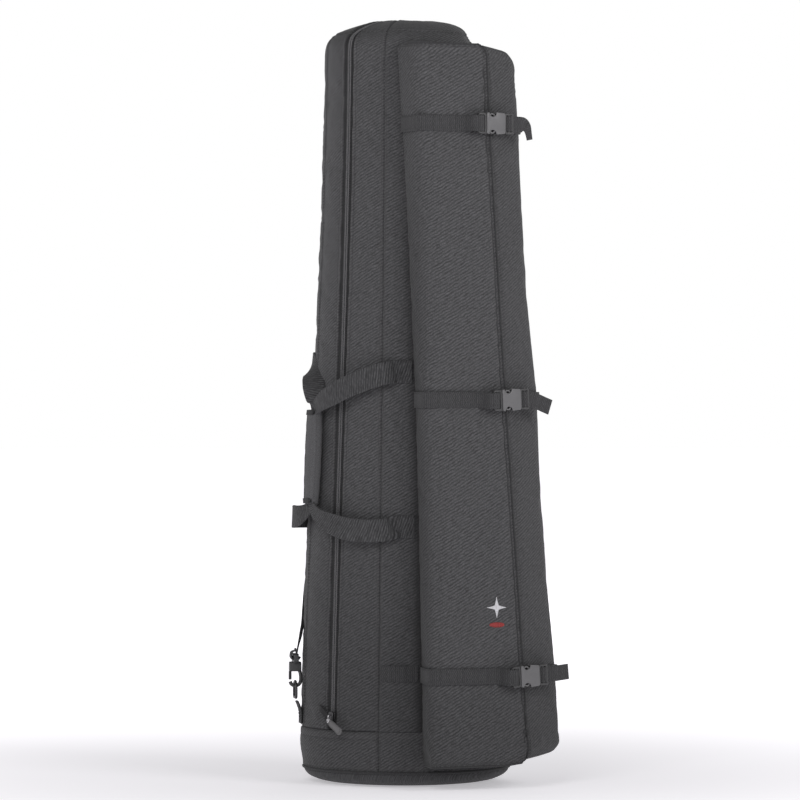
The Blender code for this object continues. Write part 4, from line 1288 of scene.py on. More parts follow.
def plate(name, frame_of, outlines, low, high, material, bevel=0.0004, round_steps=2):
    """A flat piece cut from outlines in the (along, up) plane, holes included, with softened edges."""
    curve = bpy.data.curves.new(name, "CURVE")
    curve.dimensions = "2D"
    curve.fill_mode = "BOTH"
    curve.extrude = (high - low) / 2 - bevel
    curve.bevel_depth = bevel
    curve.offset = -bevel
    curve.bevel_resolution = round_steps
    for outline in outlines:
        spline = curve.splines.new("POLY")
        spline.points.add(len(outline) - 1)
        for point, (x, z) in zip(spline.points, outline):
            point.co = (x, z, 0.0, 1.0)
        spline.use_cyclic_u = True
    holder = bpy.data.objects.new(name, curve)
    bpy.context.scene.collection.objects.link(holder)
    shaped = holder.evaluated_get(bpy.context.evaluated_depsgraph_get()).to_mesh()
    points = np.array([v.co for v in shaped.vertices])
    faces = [tuple(p.vertices) for p in shaped.polygons]
    bpy.data.objects.remove(holder, do_unlink=True)
    place, along, out, up = frame_of
    middle = (low + high) / 2
    spots = place + points[:, :1] * along + points[:, 1:2] * up + (middle + points[:, 2:3]) * out
    thing = new_mesh(name, spots, faces, material)
    return weld(thing, 4e-6, sharp=38)


def arc(x, z, radius_x, radius_z, start, end, count=12):
    turns = np.radians(between(start, end, count))
    return [(x + radius_x * math.cos(t), z + radius_z * math.sin(t)) for t in turns]


def round_box(low_x, high_x, low_z, high_z, radius):
    corners = ((high_x - radius, high_z - radius, 0), (low_x + radius, high_z - radius, 90),
               (low_x + radius, low_z + radius, 180), (high_x - radius, low_z + radius, 270))
    points = []
    for x, z, start in corners:
        points += arc(x, z, radius, radius, start, start + 90, 5)
    return points


def add_buckle(name, z):
    """The notched socket, the plug with its ladder lock, and the two prongs that latch in the notches."""
    frame_of = buckle_frame(z, BUCKLE_TILTS[name])
    half = BUCKLE_WIDTH / 2
    start = BUCKLE_START
    split = start + SOCKET_LENGTH
    end = start + BUCKLE_LENGTH
    slot_half = WEBBING / 2 + 0.0004
    notch_x = start + 0.0205
    notch_wide = 0.0052
    notch_deep = 0.0056

    def part(title, outlines, low, high, material=PLASTIC, bevel=0.0004, round_steps=2):
        return plate(f"{title}_{name}", frame_of, outlines, low, high, material, bevel, round_steps)

    face = [(start + 0.0118, half - 0.0005)]
    face += arc(notch_x, half + 0.0006, notch_wide, notch_deep, 180, 360, 17)
    face += [(split - 0.0012, half - 0.0003), (split, half - 0.0018)]
    outline = face + [(x, -high) for x, high in reversed(face)]
    front = part("socket_front", [outline], BUCKLE_THICK - 0.0022, BUCKLE_THICK, PLASTIC_LIGHT, 0.0006, 3)
    put(front, "cover", "black_plastic", f"buckle_socket_{name}")
    pieces = [part("socket_rear", [outline], 0.0004, 0.0023, bevel=0.0005)]
    loop = round_box(start, start + 0.0122, -half + 0.0002, half - 0.0002, 0.0030)
    slots = [round_box(start + low, start + high, -slot_half, slot_half, 0.0010)
             for low, high in ((0.0018, 0.0048), (0.0064, 0.0094))]
    middle = (0.0014, BUCKLE_THICK - 0.0014)
    pieces.append(part("socket_loop", [loop, *slots], *middle, bevel=0.0006, round_steps=3))
    for sign in (-1, 1):
        middle = sign * (half - 0.0010)
        wall = round_box(notch_x + 0.0060, split - 0.0006, middle - 0.0007, middle + 0.0007, 0.0005)
        pieces.append(part("socket_wall", [wall], 0.0010, BUCKLE_THICK - 0.0010, bevel=0.0003))
    put(joined(f"socket_{name}", pieces), "cover", "black_plastic")

    ladder = round_box(split + 0.0004, end, -half + 0.0002, half - 0.0002, 0.0026)
    slots = [round_box(split + low, split + low + 0.0031, -slot_half, slot_half, 0.0010)
             for low in (0.0024, 0.0076)]
    pieces = [part("plug_frame", [ladder, *slots], 0.0012, BUCKLE_THICK - 0.0016, bevel=0.0006, round_steps=3)]
    tongue = round_box(start + 0.0130, split + 0.0012, -0.0026, 0.0026, 0.0010)
    pieces.append(part("plug_tongue", [tongue], 0.0032, 0.0060))
    bridge = round_box(split + 0.0002, split + 0.0024, -half + 0.0016, half - 0.0016, 0.0008)
    pieces.append(part("plug_bridge", [bridge], 0.0026, 0.0066))
    put(joined(f"plug_{name}", pieces), f"plug_{name}", "black_plastic", f"buckle_plug_{name}")

    for side, sign in (("upper", 1.0), ("lower", -1.0)):
        root = split - 0.0006
        tip = root - PRONG_LENGTH
        spine = [(root - step, 0.0062) for step in (0.0, 0.0060, 0.0105)]
        spine += [(tip + 0.0040, 0.0064), (tip, 0.0070)]
        back = [(tip - 0.0004, 0.0090)]
        back += arc(notch_x, half - 0.0040, 0.0042, 0.0036, 178, 8, 15)
        back += [(notch_x + 0.0052, 0.0090), (root - 0.0030, 0.0092), (root, 0.0094)]
        hole = arc(notch_x, half - 0.0042, 0.0025, 0.0019, 0, 342, 17)
        outlines = [[(x, sign * high) for x, high in points] for points in (spine + back, hole)]
        prong = part(f"prong_{side}_of", outlines, 0.0026, 0.0070, PLASTIC_LIGHT, 0.0005, 3)
        put(prong, f"prong_{side}_{name}", "black_plastic", f"prong_{side}_{name}")


def webbing_line(z):
    """The strap's way round the case at a height: its points from crease to crease."""
    return case_section(z, STRAP_LIFT) * (1, 1, 0) + (0, 0, z)


def strap_path_left(name, z):
    frame_of = buckle_frame(z, BUCKLE_TILTS[name])
    line = webbing_line(z)
    first = line[0] + (line[1] - line[0]) * 0.4
    reach = local(frame_of, BUCKLE_START - 0.014, 0.0)
    before = [p for p in line[1:PIPING_COLUMN] if p[0] < reach[0] - 0.006]
    over = ((-0.0040, 0.0052), (-0.0005, 0.0078), (0.0040, 0.0082), (0.0072, 0.0072), (0.0086, 0.0036))
    ends = [(reach[0], line[PIPING_COLUMN // 2 + 4][1], z)]
    ends += [local(frame_of, BUCKLE_START + along, out) for along, out in over]
    return smooth_path([first, *before, *ends], 0.0025)


def strap_path_right(name, z):
    frame_of = buckle_frame(z, BUCKLE_TILTS[name])
    line = webbing_line(z)
    start = BUCKLE_START + BUCKLE_LENGTH
    begin = [local(frame_of, start - 0.0060, -0.0008), local(frame_of, start - 0.0025, -0.0013),
             local(frame_of, start + 0.0015, -0.0016)]
    corner = [p for p in line[PIPING_COLUMN:] if p[0] > begin[-1][0] + 0.008 or p[1] > -0.135]
    return smooth_path([*begin, *corner[:-1]], 0.0025)


def add_straps():
    for name, z in STRAPS.items():
        for side, path in (("left", strap_path_left(name, z)), ("right", strap_path_right(name, z))):
            ups = np.cross(heading(path), (0.0, 0.0, 1.0))
            thing = sweep(f"webbing_{side}_{name}", path, ups, band(WEBBING, WEBBING_THICK), WEB)
            put(thing, "cover", "webbing", f"strap_{side}_{name}")
            for sign in (-1, 1):
                edge = path + np.array((0, 0, sign * (WEBBING / 2 - 0.0022))) + unit(ups) * WEBBING_THICK
                title = f"webbing_{side}_thread_{name}_{'a' if sign < 0 else 'b'}"
                sew("cover", "webbing", title, edge, unit(ups))
        add_buckle(name, z)
        add_tail(name, z)


def add_tail(name, z):
    """The loose end: out of the ladder lock, over its last bar, then on as TAILS says."""
    frame_of = buckle_frame(z, BUCKLE_TILTS[name])
    split = BUCKLE_START + SOCKET_LENGTH
    last, tip_width, tip_twist = TAILS[name]
    knots = [(split + 0.0036, 0.0052, 0.0), (split + 0.0060, 0.0078, 0.0), (split + 0.0088, 0.0076, 0.0),
             (split + 0.0105, 0.0052, 0.0), (split + 0.0150, 0.0048, last[0][2] * 0.15)]
    knots += [(split + run, out, rise) for run, out, rise in last]
    path = smooth_path([local(frame_of, *k) for k in knots], 0.0012)
    forward = heading(path)
    ups = unit(np.cross(forward, frame_of[3]))
    run = (path - frame_of[0]) @ frame_of[1] - split
    bend = smoothstep(last[0][0], last[-1][0], run)
    side = np.cross(forward, ups)
    twist = math.radians(tip_twist) * bend
    ups = ups * np.cos(twist)[:, None] + side * np.sin(twist)[:, None]
    scale = widened(1 - (1 - tip_width) * bend)
    tail = sweep(f"tail_{name}", path, ups, band(WEBBING - 0.0006, WEBBING_THICK), WEB, scale)
    put(tail, f"plug_{name}", "webbing", f"strap_tail_{name}")


def add_crease_webbing(front_tree):
    """The lowest strap's webbing, sewn on the body beside the crease."""
    z = STRAPS["bottom"]
    angles = between(-33.0, -13.0, 30)
    line, normals = onto(front_tree, body_point(angles, z + 0.001) + COVER_SHIFT, 0.0003)
    thing = sweep("webbing_crease_bottom", line, normals, band(WEBBING, WEBBING_THICK), WEB)
    put(thing, "cover", "webbing")


# ---------------------------------------------------------------- zip


def zip_line(step):
    """(places, outward normals, directions towards the cover) along the parting line, over the crown."""
    top = SHOULDER_Z + CROWN_RUN
    wall_runs = between(CUP_SEAM_Z + 0.003, top - 0.002, 500)
    low = body_point(ZIP_ANGLE, wall_runs)
    far = body_point(HINGE_ANGLE, wall_runs[::-1])
    far = far[far[:, 2] > SHOULDER_Z + ZIP_END_RISE]
    path = smooth_path(np.concatenate((low[:-8:8], far[8::8])), step)
    forward = heading(path)
    level = np.tile(around(ZIP_ANGLE + 90, 1.0, 0.0), (len(path), 1))
    bend = smoothstep(-0.02, 0.02, path[:, 0] * 0.9 + path[:, 1] * 0.2)[:, None]
    past = -around(HINGE_ANGLE + 90, 1.0, 0.0)
    level = unit(level * (1 - bend) + past * bend)
    normals = unit(np.cross(level, forward))
    return path, normals, unit(np.cross(forward, normals))


def add_zip():
    path, normals, level = zip_line(0.0014)
    for owner, node, sign in (("cover", "zip_teeth_cover", 1.0), ("back_shell", "zip_teeth_shell", -1.0)):
        shift = COVER_SHIFT if owner == "cover" else 0.0
        offset = path + normals * -0.0004 + shift
        near = offset + level * sign * 0.00035
        far = offset + level * sign * 0.0027 + normals * 0.0002
        if sign < 0:  # this side's teeth lie between the other side's
            near, far = ((ends[:-1] + ends[1:]) / 2 for ends in (near, far))
        teeth = many_rods(f"coil_{owner}", near, far, 0.00058, COIL)
        put(teeth, owner, "zip_coil", node)
        cord_line = offset + level * sign * 0.0016 + normals * 0.0002
        cord = sweep(f"coil_cord_{owner}", cord_line[::3], normals[::3], circle(0.00052, 6), THREAD)
        put(cord, owner, "zip_coil")
        for number, reach in enumerate((0.0031, 0.0037)):
            line = offset + level * sign * reach - normals * 0.0006
            title = f"coil_thread_{owner}_{number}"
            sew(owner, "zip_coil", title, line[::2], normals[::2], 0.0016, 0.0008, 0.00028)
        tape = ((0.0002, 0), (0.0060, 0), (0.0105, -0.0002), (0.0105, -0.0008), (0.0002, -0.0007))
        tape = np.array(tape) * (sign, 1)
        rings = offset[::4, None] + level[::4, None] * tape[:, :1] + normals[::4, None] * (tape[:, 1:] - 0.0011)
        put(loft(f"zip_tape_{owner}", rings, TAPE, sharp=60), owner, "zip_coil")


def slider_frame():
    low, _, level = body_frame(ZIP_ANGLE, SLIDER_Z)
    high = body_point(ZIP_ANGLE, SLIDER_TOP_Z)
    up = unit(high - low)
    out = unit(np.cross(level, up))
    return low + out * SLIDER_LIFT + level * SLIDER_ASIDE, level, out, up


def add_slider():
    place, level, out, up = slider_frame()
    spot = (place, level, out, up)
    shape = arc(0, 0.0045, 0.0041, 0.0028, 20, 160, 9)
    shape += [(-0.0030, -0.0052), (-0.0022, -0.0066), (0.0022, -0.0066), (0.0030, -0.0052)]
    pieces = [plate("slider_plate", spot, [shape], 0.0000, 0.0019, BLACKED, 0.0005, 3)]
    lower = [(x * 0.96, z) for x, z in shape]
    pieces.append(plate("slider_under", spot, [lower], -0.0032, -0.0016, BLACKED, 0.0004, 2))
    post = round_box(-0.0006, 0.0006, 0.0018, 0.0052, 0.0003)
    pieces.append(plate("slider_post", spot, [post], -0.0022, 0.0006, STEEL, 0.0002, 1))
    arch = ((-0.0050, 0.0014), (-0.0050, 0.0034), (-0.0030, 0.0054), (0.0006, 0.0054), (0.0028, 0.0040),
            (0.0030, 0.0014))
    line = smooth_path([local(spot, 0, y, z) for z, y in arch], 0.0006)
    pieces.append(sweep("slider_bridge", line, level, circle(0.0009, 8) * (1.3, 0.8), STEEL, sharp=40))
    put(joined("slider_body", pieces), "zip_slider", "steel", "zip_slider")

    slant = math.radians(PULL_SLANT)
    along = unit(up * -math.cos(slant) + level * math.sin(slant))
    across = np.cross(out, along)
    pull_spot = (place + out * 0.0068 - up * 0.0030, across, out, along)
    eye = arc(0, 0.0006, 0.0026, 0.0026, 200, -20, 12) + [(0.0022, -0.0), (0.0018, 0.0062), (-0.0018, 0.0062)]
    hole = arc(0, 0.0008, 0.0013, 0.0013, 0, 340, 12)
    ring = plate("pull_eye", pull_spot, [eye, hole], 0.0002, 0.0014, STEEL, 0.0003, 2)
    tongue = arc(0, 0.0258, 0.0046, 0.0040, 0, 180, 12)
    tongue += [(-0.0040, 0.0080), (-0.0030, 0.0042), (0.0030, 0.0042), (0.0040, 0.0080)]
    tab = plate("pull_tab", pull_spot, [tongue], -0.0001, 0.0023, LEATHER, 0.0006, 3)
    rim = [(x * 0.76, 0.0160 + (z - 0.0160) * 0.86) for x, z in tongue]
    rim_line = np.array([local(pull_spot, x, 0.0023, z) for x, z in rim + rim[:1]])
    outs = np.tile(out, (len(rim_line), 1))
    sew("zip_pull", "leather_pull", "pull_thread", rim_line, outs, 0.0016, 0.0008, 0.00022)
    put(joined("pull", [ring, tab]), "zip_pull", "leather_pull", "zip_pull")


def add_tape_end():
    """The zip tape's dark folded end at the foot of the zip, curling off to the left."""
    curl = ((0.5, 0.0800, 0.0012), (2.2, 0.0850, 0.0024), (4.0, 0.0905, 0.0040), (6.6, 0.0950, 0.0044),
            (9.4, 0.0970, 0.0026), (11.0, 0.0965, 0.0008))
    knots = [(ZIP_ANGLE - turn, z, lift) for turn, z, lift in curl]
    points = []
    ups = []
    for angle, z, lift in smooth_path(knots, 0.5):
        point, normal, _ = body_frame(angle, z)
        points.append(point + normal * lift)
        ups.append(normal)
    thing = sweep("zip_tape_end", points, ups, band(0.0070, 0.0012), TAPE)
    put(thing, "back_shell", "zip_coil")


# ---------------------------------------------------------------- carry handle


def body_band(knots, steps=8):
    """(points, normals, widths) of a band over the body through (angle, z, lift, width) knots."""
    rows = cubic(np.array(knots, float), between(0, len(knots) - 1, steps * (len(knots) - 1) + 1))
    points = []
    normals = []
    for angle, z, lift, _ in rows:
        point, normal, _ = body_frame(angle, z)
        points.append(point + normal * lift)
        normals.append(normal)
    return np.array(points), np.array(normals), rows[:, 3]


def add_web(name, knots, body, node, roll=None):
    """Handle webbing through its knots, rolled about its own line by an angle at each knot."""
    points, normals, widths = body_band(knots)
    points = points + (COVER_SHIFT if body == "cover" else 0.0)
    if roll is not None:
        forward = heading(points)
        places = between(0, len(knots) - 1, len(points))
        lean = np.radians(np.interp(places, np.arange(len(knots)), roll))[:, None]
        side = unit(np.cross(forward, normals))
        normals = unit(normals * np.cos(lean) + side * np.sin(lean))
    section = band(HANDLE_WEB, HANDLE_THICK)
    web = sweep(name, points, normals, section, WEB_COARSE, widened(widths / HANDLE_WEB))
    put(web, body, "webbing", node)
    return points, normals


def box_stitch(name, points, normals, width, body, first, last):
    """A sewn rectangle with a cross in it at a web's end."""
    side = unit(np.cross(heading(points), normals)) * (width / 2 - 0.003)
    corners = [points[at] + side[at] * sign for at, sign in ((first, -1), (first, 1), (last, 1), (last, -1))]
    route = [corners[i] for i in (0, 1, 2, 3, 0, 2, 3, 1)]
    line = np.concatenate([between(0, 1, 12)[:, None] * (q - p) + p for p, q in zip(route[:-1], route[1:])])
    line = line + normals[first] * (HANDLE_THICK * 1.02)
    sew(body, "webbing", name, line, np.tile(normals[first], (len(line), 1)))


def add_handle():
    """Two webs, front and rear, each sewn to the body at its ends and drawn together in the grip."""
    full = HANDLE_WEB
    grip = GRIP_ANGLE
    front = (
        (-15.5, 0.5215, 0.0010, full), (-22.0, 0.5213, 0.0010, full), (-26.0, 0.5212, 0.0022, full),
        (-28.0, 0.5205, 0.0075, full), (-32.0, 0.5185, 0.0120, full), (-40.0, 0.5130, 0.0150, full),
        (-52.0, 0.5020, 0.0180, 0.0280), (-63.0, 0.4910, 0.0185, 0.0275), (-72.0, 0.4830, 0.0165, 0.0240),
        (-78.5, 0.4755, 0.0140, 0.0190), (grip, 0.4640, 0.0128, 0.0140), (grip, 0.4140, 0.0128, 0.0140),
        (grip, 0.3620, 0.0128, 0.0140), (-78.0, 0.3490, 0.0140, 0.0150), (-71.0, 0.3390, 0.0165, 0.0190),
        (-62.0, 0.3310, 0.0185, 0.0250), (-52.0, 0.3240, 0.0178, full), (-42.0, 0.3215, 0.0145, full),
        (-32.0, 0.3225, 0.0110, full), (-28.0, 0.3240, 0.0070, full), (-26.0, 0.3262, 0.0022, full),
        (-21.0, 0.3270, 0.0010, full), (-14.5, 0.3272, 0.0010, full),
    )
    rear = (
        (-124.0, 0.5325, 0.0012, full), (-117.0, 0.5330, 0.0016, full), (-110.0, 0.5320, 0.0022, full),
        (-103.0, 0.5280, 0.0034, full), (-96.0, 0.5215, 0.0056, full), (-89.5, 0.5130, 0.0086, full),
        (-84.5, 0.5010, 0.0116, 0.0280), (-82.0, 0.4890, 0.0130, 0.0240), (grip, 0.4740, 0.0108, 0.0170),
        (grip, 0.4140, 0.0098, 0.0140), (grip, 0.3620, 0.0098, 0.0140), (-84.0, 0.3470, 0.0130, 0.0190),
        (-90.0, 0.3385, 0.0180, 0.0260), (-98.0, 0.3370, 0.0205, full), (-105.0, 0.3362, 0.0180, full),
        (-112.0, 0.3362, 0.0100, full), (-119.0, 0.3362, 0.0020, full), (-125.0, 0.3362, 0.0012, full),
    )
    rear_roll = (0, 0, -4, -24, -46, -56, -56, -36, -8, 0, 0, 0, 0, 0, 0, 0, 0, 0)
    for title, body, knots, roll, sewn in (("front", "cover", front, None, ((1, 13), (-14, -2))),
                                           ("rear", "back_shell", rear, rear_roll, ((1, 7), (-8, -2)))):
        points, normals = add_web(f"handle_{title}_web", knots, body, f"handle_web_{title}", roll)
        for end, (first, last) in zip(("top", "low"), sewn):
            box_stitch(f"handle_{title}_sewing_{end}", points, normals, HANDLE_WEB, body, first, last)
    add_grip()


def grip_frame(z):
    """(middle, outward normal, level tangent) of the grip at a height."""
    point, normal, level = body_frame(GRIP_ANGLE, z)
    return point + normal * GRIP_LIFT + COVER_SHIFT, normal, level


def add_grip():
    """The padded wrap round both webs, open at its back, bound at its edges."""
    # outlines in millimetres, sideways and outwards
    inner = [(-9.6, -4.1), (8.5, -4.1), (9.6, 0.2), (8.5, 4.3), (-9.6, 4.3)]
    outer = [(-10.4, 4.8), (-10.4, 7.0), (-7.4, 8.0), (0.0, 8.2), (7.6, 7.6), (11.2, 4.8), (12.2, 0.6),
             (11.4, -4.4), (8.0, -7.2), (0.0, -8.0), (-7.4, -7.6), (-10.4, -6.7), (-10.4, -4.7)]
    profile = np.array(inner + outer) * 0.001
    count = 40
    edge = len(inner)
    rings = []
    for share, z in zip(between(0, 1, count), between(GRIP_BOTTOM_Z, GRIP_TOP_Z, count)):
        middle, normal, level = grip_frame(z)
        ends = min(share, 1 - share) * 2
        bow = math.sin(math.pi * share) ** 0.7
        swell = 1.0 - 0.12 * math.exp(-ends / 0.03)
        waver = 0.00012 * math.sin(share * 31) + 0.0001 * math.sin(share * 53 + 1)
        ring = profile.copy()
        near = np.clip(ring[edge:, :1] / 0.012, 0.0, 1.0)
        ring[edge:] *= swell
        ring[edge:, :1] += near * (0.0040 * bow - 0.0042)
        ring[edge:, 1] += waver - 0.0012 * (1 - bow) * (ring[edge:, 1] > 0)
        rings.append(middle + level * ring[:, :1] + normal * ring[:, 1:])
    wrap = loft("grip_wrap", rings, GRIP_CLOTH, sharp=55)
    put(wrap, "cover", "webbing", "handle_wrap")
    tree = tree_of(wrap)
    for title, z in (("low", GRIP_BOTTOM_Z + 0.0035), ("high", GRIP_TOP_Z - 0.0035)):
        middle, normal, level = grip_frame(z)
        ring = np.array(outer[1:-1]) * 0.00102
        line = smooth_path(middle + level * ring[:, :1] + normal * ring[:, 1:], 0.001)
        line, outs = onto(tree, line, 0.0001)
        put(sweep(f"grip_binding_{title}", line, outs, band(0.0065, 0.0011), BINDING), "cover", "webbing")
    for title, x, y in (("front", 0.0120, 0.0030), ("out", -0.0070, 0.0086)):
        line = []
        for z in between(GRIP_BOTTOM_Z + 0.006, GRIP_TOP_Z - 0.006, 60):
            middle, normal, level = grip_frame(z)
            line.append(middle + normal * y + level * x)
        sew("cover", "webbing", f"grip_thread_{title}", *onto(tree, line))


# ---------------------------------------------------------------- harness


def hook_frame(side):
    point, normal, _ = body_frame(side * HARNESS_ANGLE, HOOK_Z)
    out = unit((normal[0], normal[1], 0))
    return point + out * HOOK_LIFT, np.array((-out[1], out[0], 0.0)), out, np.array((0.0, 0.0, 1.0))


def add_harness_side(name, side):
    """One side's sewn tab and ring, snap hook with its gate, webbing and shoulder pad."""
    frame_of = hook_frame(side)
    _, along, out, _ = frame_of
    tab = ((0.074, 0.0008, 0.0200), (0.088, 0.0012, 0.0200), (0.0975, 0.0042, 0.0200), (0.1025, 0.0065, 0.0190))
    points, normals, widths = body_band([(side * HARNESS_ANGLE, *knot) for knot in tab])
    web = sweep(f"tab_web_{name}", points, normals, band(TAB_WEB, 0.0024), WEB, widened(widths / TAB_WEB))
    put(web, "back_shell", "webbing", f"web_tab_{name}")
    box_stitch(f"tab_sewing_{name}", points, normals, TAB_WEB, "back_shell", 3, 11)

    ring_z = -0.0250
    half = [(0.0085, 0.0), (0.0105, 0.0030), (0.0105, 0.0110), (0.0075, 0.0180)]
    knots = [*half, (0.0, 0.0205), *[(-x, z) for x, z in reversed(half)], (-0.0085, 0.0), (0.0, -0.0002)]
    closed = cubic(np.array(knots), between(0, len(knots), 73)[:-1], wrap=True)
    line = np.array([local(frame_of, x, 0.0, ring_z + z) for x, z in closed])
    ring = sweep(f"ring_{name}", line, out, circle(0.00165, 12), BLACKED, closed=True)
    put(ring, f"d_ring_{name}", "steel", f"d_ring_{name}")

    spine = [(-0.0050, 0.0105), (-0.0068, 0.0040), (-0.0070, -0.0040), (-0.0047, -0.0086), (0.0, -0.0103),
             (0.0046, -0.0086), (0.0066, -0.0050)]
    line = smooth_path([local(frame_of, 0.0, y, z) for y, z in spine], 0.0007)
    bar = sweep(f"hook_bar_{name}", line, along, circle(1.0, 12) * (0.0023, 0.0018), PLASTIC)
    block = round_box(-0.0056, 0.0056, 0.0080, 0.0205, 0.0024)
    body = plate(f"hook_block_{name}", frame_of, [block], -0.0074, 0.0078, PLASTIC, 0.0012, 4)
    eye = round_box(-0.0118, 0.0118, 0.0188, 0.0312, 0.0034)
    slot = round_box(-0.0088, 0.0088, 0.0226, 0.0279, 0.0014)
    loop = plate(f"hook_eye_{name}", frame_of, [eye, slot], -0.0032, 0.0032, PLASTIC, 0.0009, 3)
    collar = sweep(f"hook_collar_{name}", [local(frame_of, 0, 0, z) for z in (0.0178, 0.0186, 0.0194)], out,
                   circle(0.0058, 24), PLASTIC_DARK)
    hook = joined(f"hook_{name}_body", [body, bar, loop, collar])
    put(hook, f"hook_{name}", "black_plastic", f"snap_hook_{name}")
    gate_line = smooth_path([local(frame_of, 0.0, 0.0066, z) for z in (0.0084, 0.0030, -0.0024)], 0.001)
    gate = sweep(f"gate_{name}_bar", gate_line, along, circle(1.0, 10) * (0.0019, 0.0014), PLASTIC_DARK)
    put(gate, f"gate_{name}", "black_plastic", f"hook_gate_{name}")

    knots = ((101.0, 0.1645, 0.0104, 0.0165), (101.0, 0.1690, 0.0080, 0.0180), (105.0, 0.1800, 0.0048, 0.0200),
             (112.0, 0.1980, 0.0016, 0.0240), (122.0, 0.2400, 0.0012, 0.0250), (132.0, 0.3000, 0.0013, 0.0250),
             (138.0, 0.4000, 0.0016, 0.0250))
    points, normals, widths = body_band([(side * angle, *rest) for angle, *rest in knots])
    scale = widened(widths / HARNESS_WEB)
    web = sweep(f"harness_webbing_{name}", points, normals, band(HARNESS_WEB, 0.0018), WEB, scale)
    put(web, "back_shell", "webbing", f"harness_web_{name}")
    loop = ((0.0004, 0.0340), (0.0042, 0.0322), (0.0050, 0.0290), (0.0050, 0.0262), (0.0030, 0.0240),
            (0.0, 0.0235), (-0.0034, 0.0242), (-0.0052, 0.0272))
    line = smooth_path([local(frame_of, 0, y, z) for y, z in loop], 0.001)
    bend = sweep(f"harness_loop_{name}", line, np.cross(heading(line), along), band(0.0165, 0.0013), WEB)
    put(bend, f"hook_{name}", "webbing")
    add_shoulder_pad(name, side)


def add_shoulder_pad(name, side):
    """A curved foam pad, blown out between its bound edges and its sewn middle channels."""
    knots = ((140.5, 0.402, 0.0022, 0.0400), (142.5, 0.428, 0.0024, 0.0500), (146.0, 0.470, 0.0028, 0.0570),
             (152.0, 0.560, 0.0030, 0.0620), (156.0, 0.680, 0.0030, 0.0580), (157.6, 0.760, 0.0028, 0.0530),
             (158.3, 0.792, 0.0024, 0.0470))
    points, normals, widths = body_band([(side * angle, *rest) for angle, *rest in knots], 14)
    sideways = unit(np.cross(heading(points), normals))
    shares = np.sin(between(-90, 90, 17) * math.pi / 180)
    rim = np.sqrt(np.maximum(1 - shares**2, 0.0)) ** 0.5
    count = len(points)
    taper = np.minimum(np.arange(count), np.arange(count)[::-1]) / 7.0
    taper = np.sqrt(np.clip(1 - (1 - np.clip(taper, 0, 1)) ** 2, 0.02, 1))
    half = widths * 0.5 * (0.72 + 0.28 * taper)
    thick = 0.0066 * taper[:, None]
    upper = points[:, None] + sideways[:, None] * (half[:, None] * shares)[..., None]
    top = upper + normals[:, None] * (0.0040 + thick * rim)[..., None]
    low = upper + normals[:, None] * (0.0036 - 0.0030 * taper[:, None] * rim)[..., None]
    rings = np.concatenate((top, low[:, ::-1][:, 1:-1]), axis=1)
    held = np.zeros(rings.shape[:2], bool)
    held[[0, -1]] = True
    held[:, [0, 16]] = True
    held[:, 17:] = True
    channels = (22, 44, 66)
    held[channels, 2:15] = True
    rings = puffed(rings, held, PAD_PRESSURE, PAD_PUFF, wrap=True)
    for row in channels:
        for shift, depth in ((0, 0.0016), (1, 0.0006), (-1, 0.0006)):
            rings[row + shift, 1:16] -= normals[row + shift] * depth
    pad = loft(f"pad_{name}", rings, TWILL, sharp=70)
    put(pad, "back_shell", "polyester", f"shoulder_pad_{name}")
    edge = np.concatenate((rings[:, 0], rings[::-1, 16]))
    outs = unit(np.concatenate((normals, normals[::-1])))
    binding = sweep(f"pad_binding_{name}", edge, outs, circle(1.0, 8) * (0.0017, 0.0022), BINDING, closed=True)
    put(binding, "back_shell", "webbing")


# ---------------------------------------------------------------- embroidery


def add_motif(tree):
    """A small plain embroidered mark: a four-pointed star over a lens, each of satin stitch on the cloth."""

    def satin(name, pairs, material):
        ends = []
        for x, z in np.array(pairs).reshape(-1, 2) + (MOTIF_X, MOTIF_Z):
            hit, normal, _, _ = tree.ray_cast(Vector((x, -0.30, z)), Vector((0, 1, 0)))
            ends.append(np.array(hit) + np.array(normal) * 0.0002)
        put(many_rods(name, ends[::2], ends[1::2], SATIN_RADIUS, material), "cover", "webbing")

    star = []
    for arm in range(4):
        turn = math.radians(90 * arm)
        for step in between(0.0, 1.0, 19):
            reach = STAR_REACH * step
            width = 0.0034 * (1 - step) ** 1.3 + 0.0003
            x, z = reach * math.sin(turn), STAR_RISE + reach * math.cos(turn)
            across, drop = math.cos(turn) * width, -math.sin(turn) * width
            star.append(((x - across, z - drop), (x + across, z + drop)))
    satin("motif_star", star, WHITE_THREAD)

    lens = []
    for step in between(-0.5, 0.5, int(OVAL_LENGTH / 0.0009)):
        high = 0.0034 * (1 - (2 * step) ** 2) ** 0.5
        lens.append(((step * OVAL_LENGTH, -OVAL_DROP - high), (step * OVAL_LENGTH, -OVAL_DROP + high)))
    satin("motif_bars", lens, RED_THREAD)


# ---------------------------------------------------------------- studio


def add_floor():
    """A pale floor that fades into the pale surroundings; its glow is weaker near the middle, a painted soft
    shadow round the case.
    """
    work = bmesh.new()
    bmesh.ops.create_circle(work, cap_ends=True, segments=96, radius=40.0)
    mesh = bpy.data.meshes.new("floor")
    work.to_mesh(mesh)
    work.free()
    floor = bpy.data.objects.new("floor", mesh)
    floor.location = (0, 0, -0.0005)
    n = Nodes("pale_floor")
    colour = n.mix(n.noise(n.object_place(), 3.0, 2.0), grey(0.88), grey(0.92))
    # the floor glows to stay pale, less near the middle: a painted soft shadow under the case
    distance = n.add("ShaderNodeVectorMath", operation="LENGTH")
    n.link(n.object_place(), distance.inputs[0])
    glow_with_painted_shadow = ranged(n.tree, distance.outputs["Value"], 0.15, 1.6, FLOOR_GLOW * 0.45, FLOOR_GLOW, "SMOOTHSTEP")
    n.link(grey(1.0), n.shader.inputs["Emission Color"])
    n.link(glow_with_painted_shadow, n.shader.inputs["Emission Strength"])
    mesh.materials.append(n.finish(colour, 0.9, specular=0.0))
    bpy.context.scene.collection.objects.link(floor)


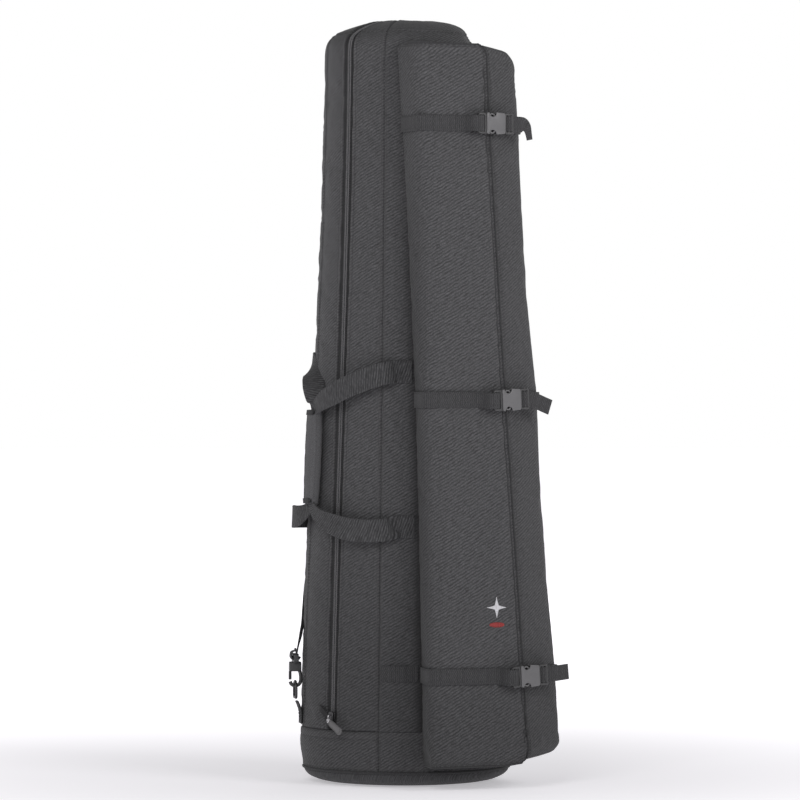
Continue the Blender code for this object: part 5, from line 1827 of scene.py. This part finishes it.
def ranged(tree, value, from_low, from_high, to_low, to_high, kind="LINEAR"):
    """A value spread from one range onto another."""
    node = tree.nodes.new("ShaderNodeMapRange")
    node.interpolation_type = kind
    numbers = {"From Min": from_low, "From Max": from_high, "To Min": to_low, "To Max": to_high}
    for key, number in numbers.items():
        node.inputs[key].default_value = number
    tree.links.new(value, node.inputs["Value"])
    return node.outputs[0]


def add_studio():
    """Soft light: a dome bright in front and behind and darker overhead, and large lamps."""
    world = bpy.data.worlds.new("studio")
    world.use_nodes = True
    tree = world.node_tree
    background = tree.nodes["Background"]
    place = tree.nodes.new("ShaderNodeTexCoord")
    split = tree.nodes.new("ShaderNodeSeparateXYZ")
    tree.links.new(place.outputs["Generated"], split.inputs[0])
    overhead = ranged(tree, split.outputs[2], 0.12, 0.75, WORLD_LEVEL, WORLD_LEVEL * 0.12)
    behind = ranged(tree, split.outputs[1], -0.6, 0.5, 0.62, 1.0, "SMOOTHSTEP")
    both = tree.nodes.new("ShaderNodeMath")
    both.operation = "MULTIPLY"
    tree.links.new(overhead, both.inputs[0])
    tree.links.new(behind, both.inputs[1])
    tree.links.new(both.outputs[0], background.inputs["Strength"])
    background.inputs["Color"].default_value = (1, 1, 1, 1)
    bpy.context.scene.world = world

    for title, place_at, size, power, aim in LAMPS:
        data = bpy.data.lights.new(title, "AREA")
        data.size = size
        data.energy = power
        light = bpy.data.objects.new(title, data)
        light.location = place_at
        light.rotation_euler = (Vector(aim) - Vector(place_at)).to_track_quat("-Z", "Y").to_euler()
        bpy.context.scene.collection.objects.link(light)


def add_camera():
    """A level camera a little to the left of the front, far off with a long lens."""
    turn = math.radians(CAMERA_TURN)
    data = bpy.data.cameras.new("camera")
    data.lens = LENS
    data.sensor_width = 36.0
    data.clip_end = 100.0
    camera = bpy.data.objects.new("camera", data)
    back = Vector((-math.sin(turn), -math.cos(turn), 0.0)) * CAMERA_DISTANCE
    aside = Vector((math.cos(turn), -math.sin(turn), 0.0)) * CAMERA_ASIDE
    camera.location = back + aside + Vector((0, 0, CAMERA_HEIGHT))
    camera.rotation_euler = (math.radians(90.0), 0.0, -turn)
    bpy.context.scene.collection.objects.link(camera)
    bpy.context.scene.camera = camera
    bpy.context.scene.view_settings.view_transform = "Standard"


add_camera()
add_floor()
add_studio()
front_tree = add_body()
add_hinge_strip()
add_base()
case_tree = add_case()
add_straps()
add_crease_webbing(front_tree)
add_zip()
add_slider()
add_tape_end()
add_handle()
for name, side in (("left", -1.0), ("right", 1.0)):
    add_harness_side(name, side)
add_motif(case_tree)
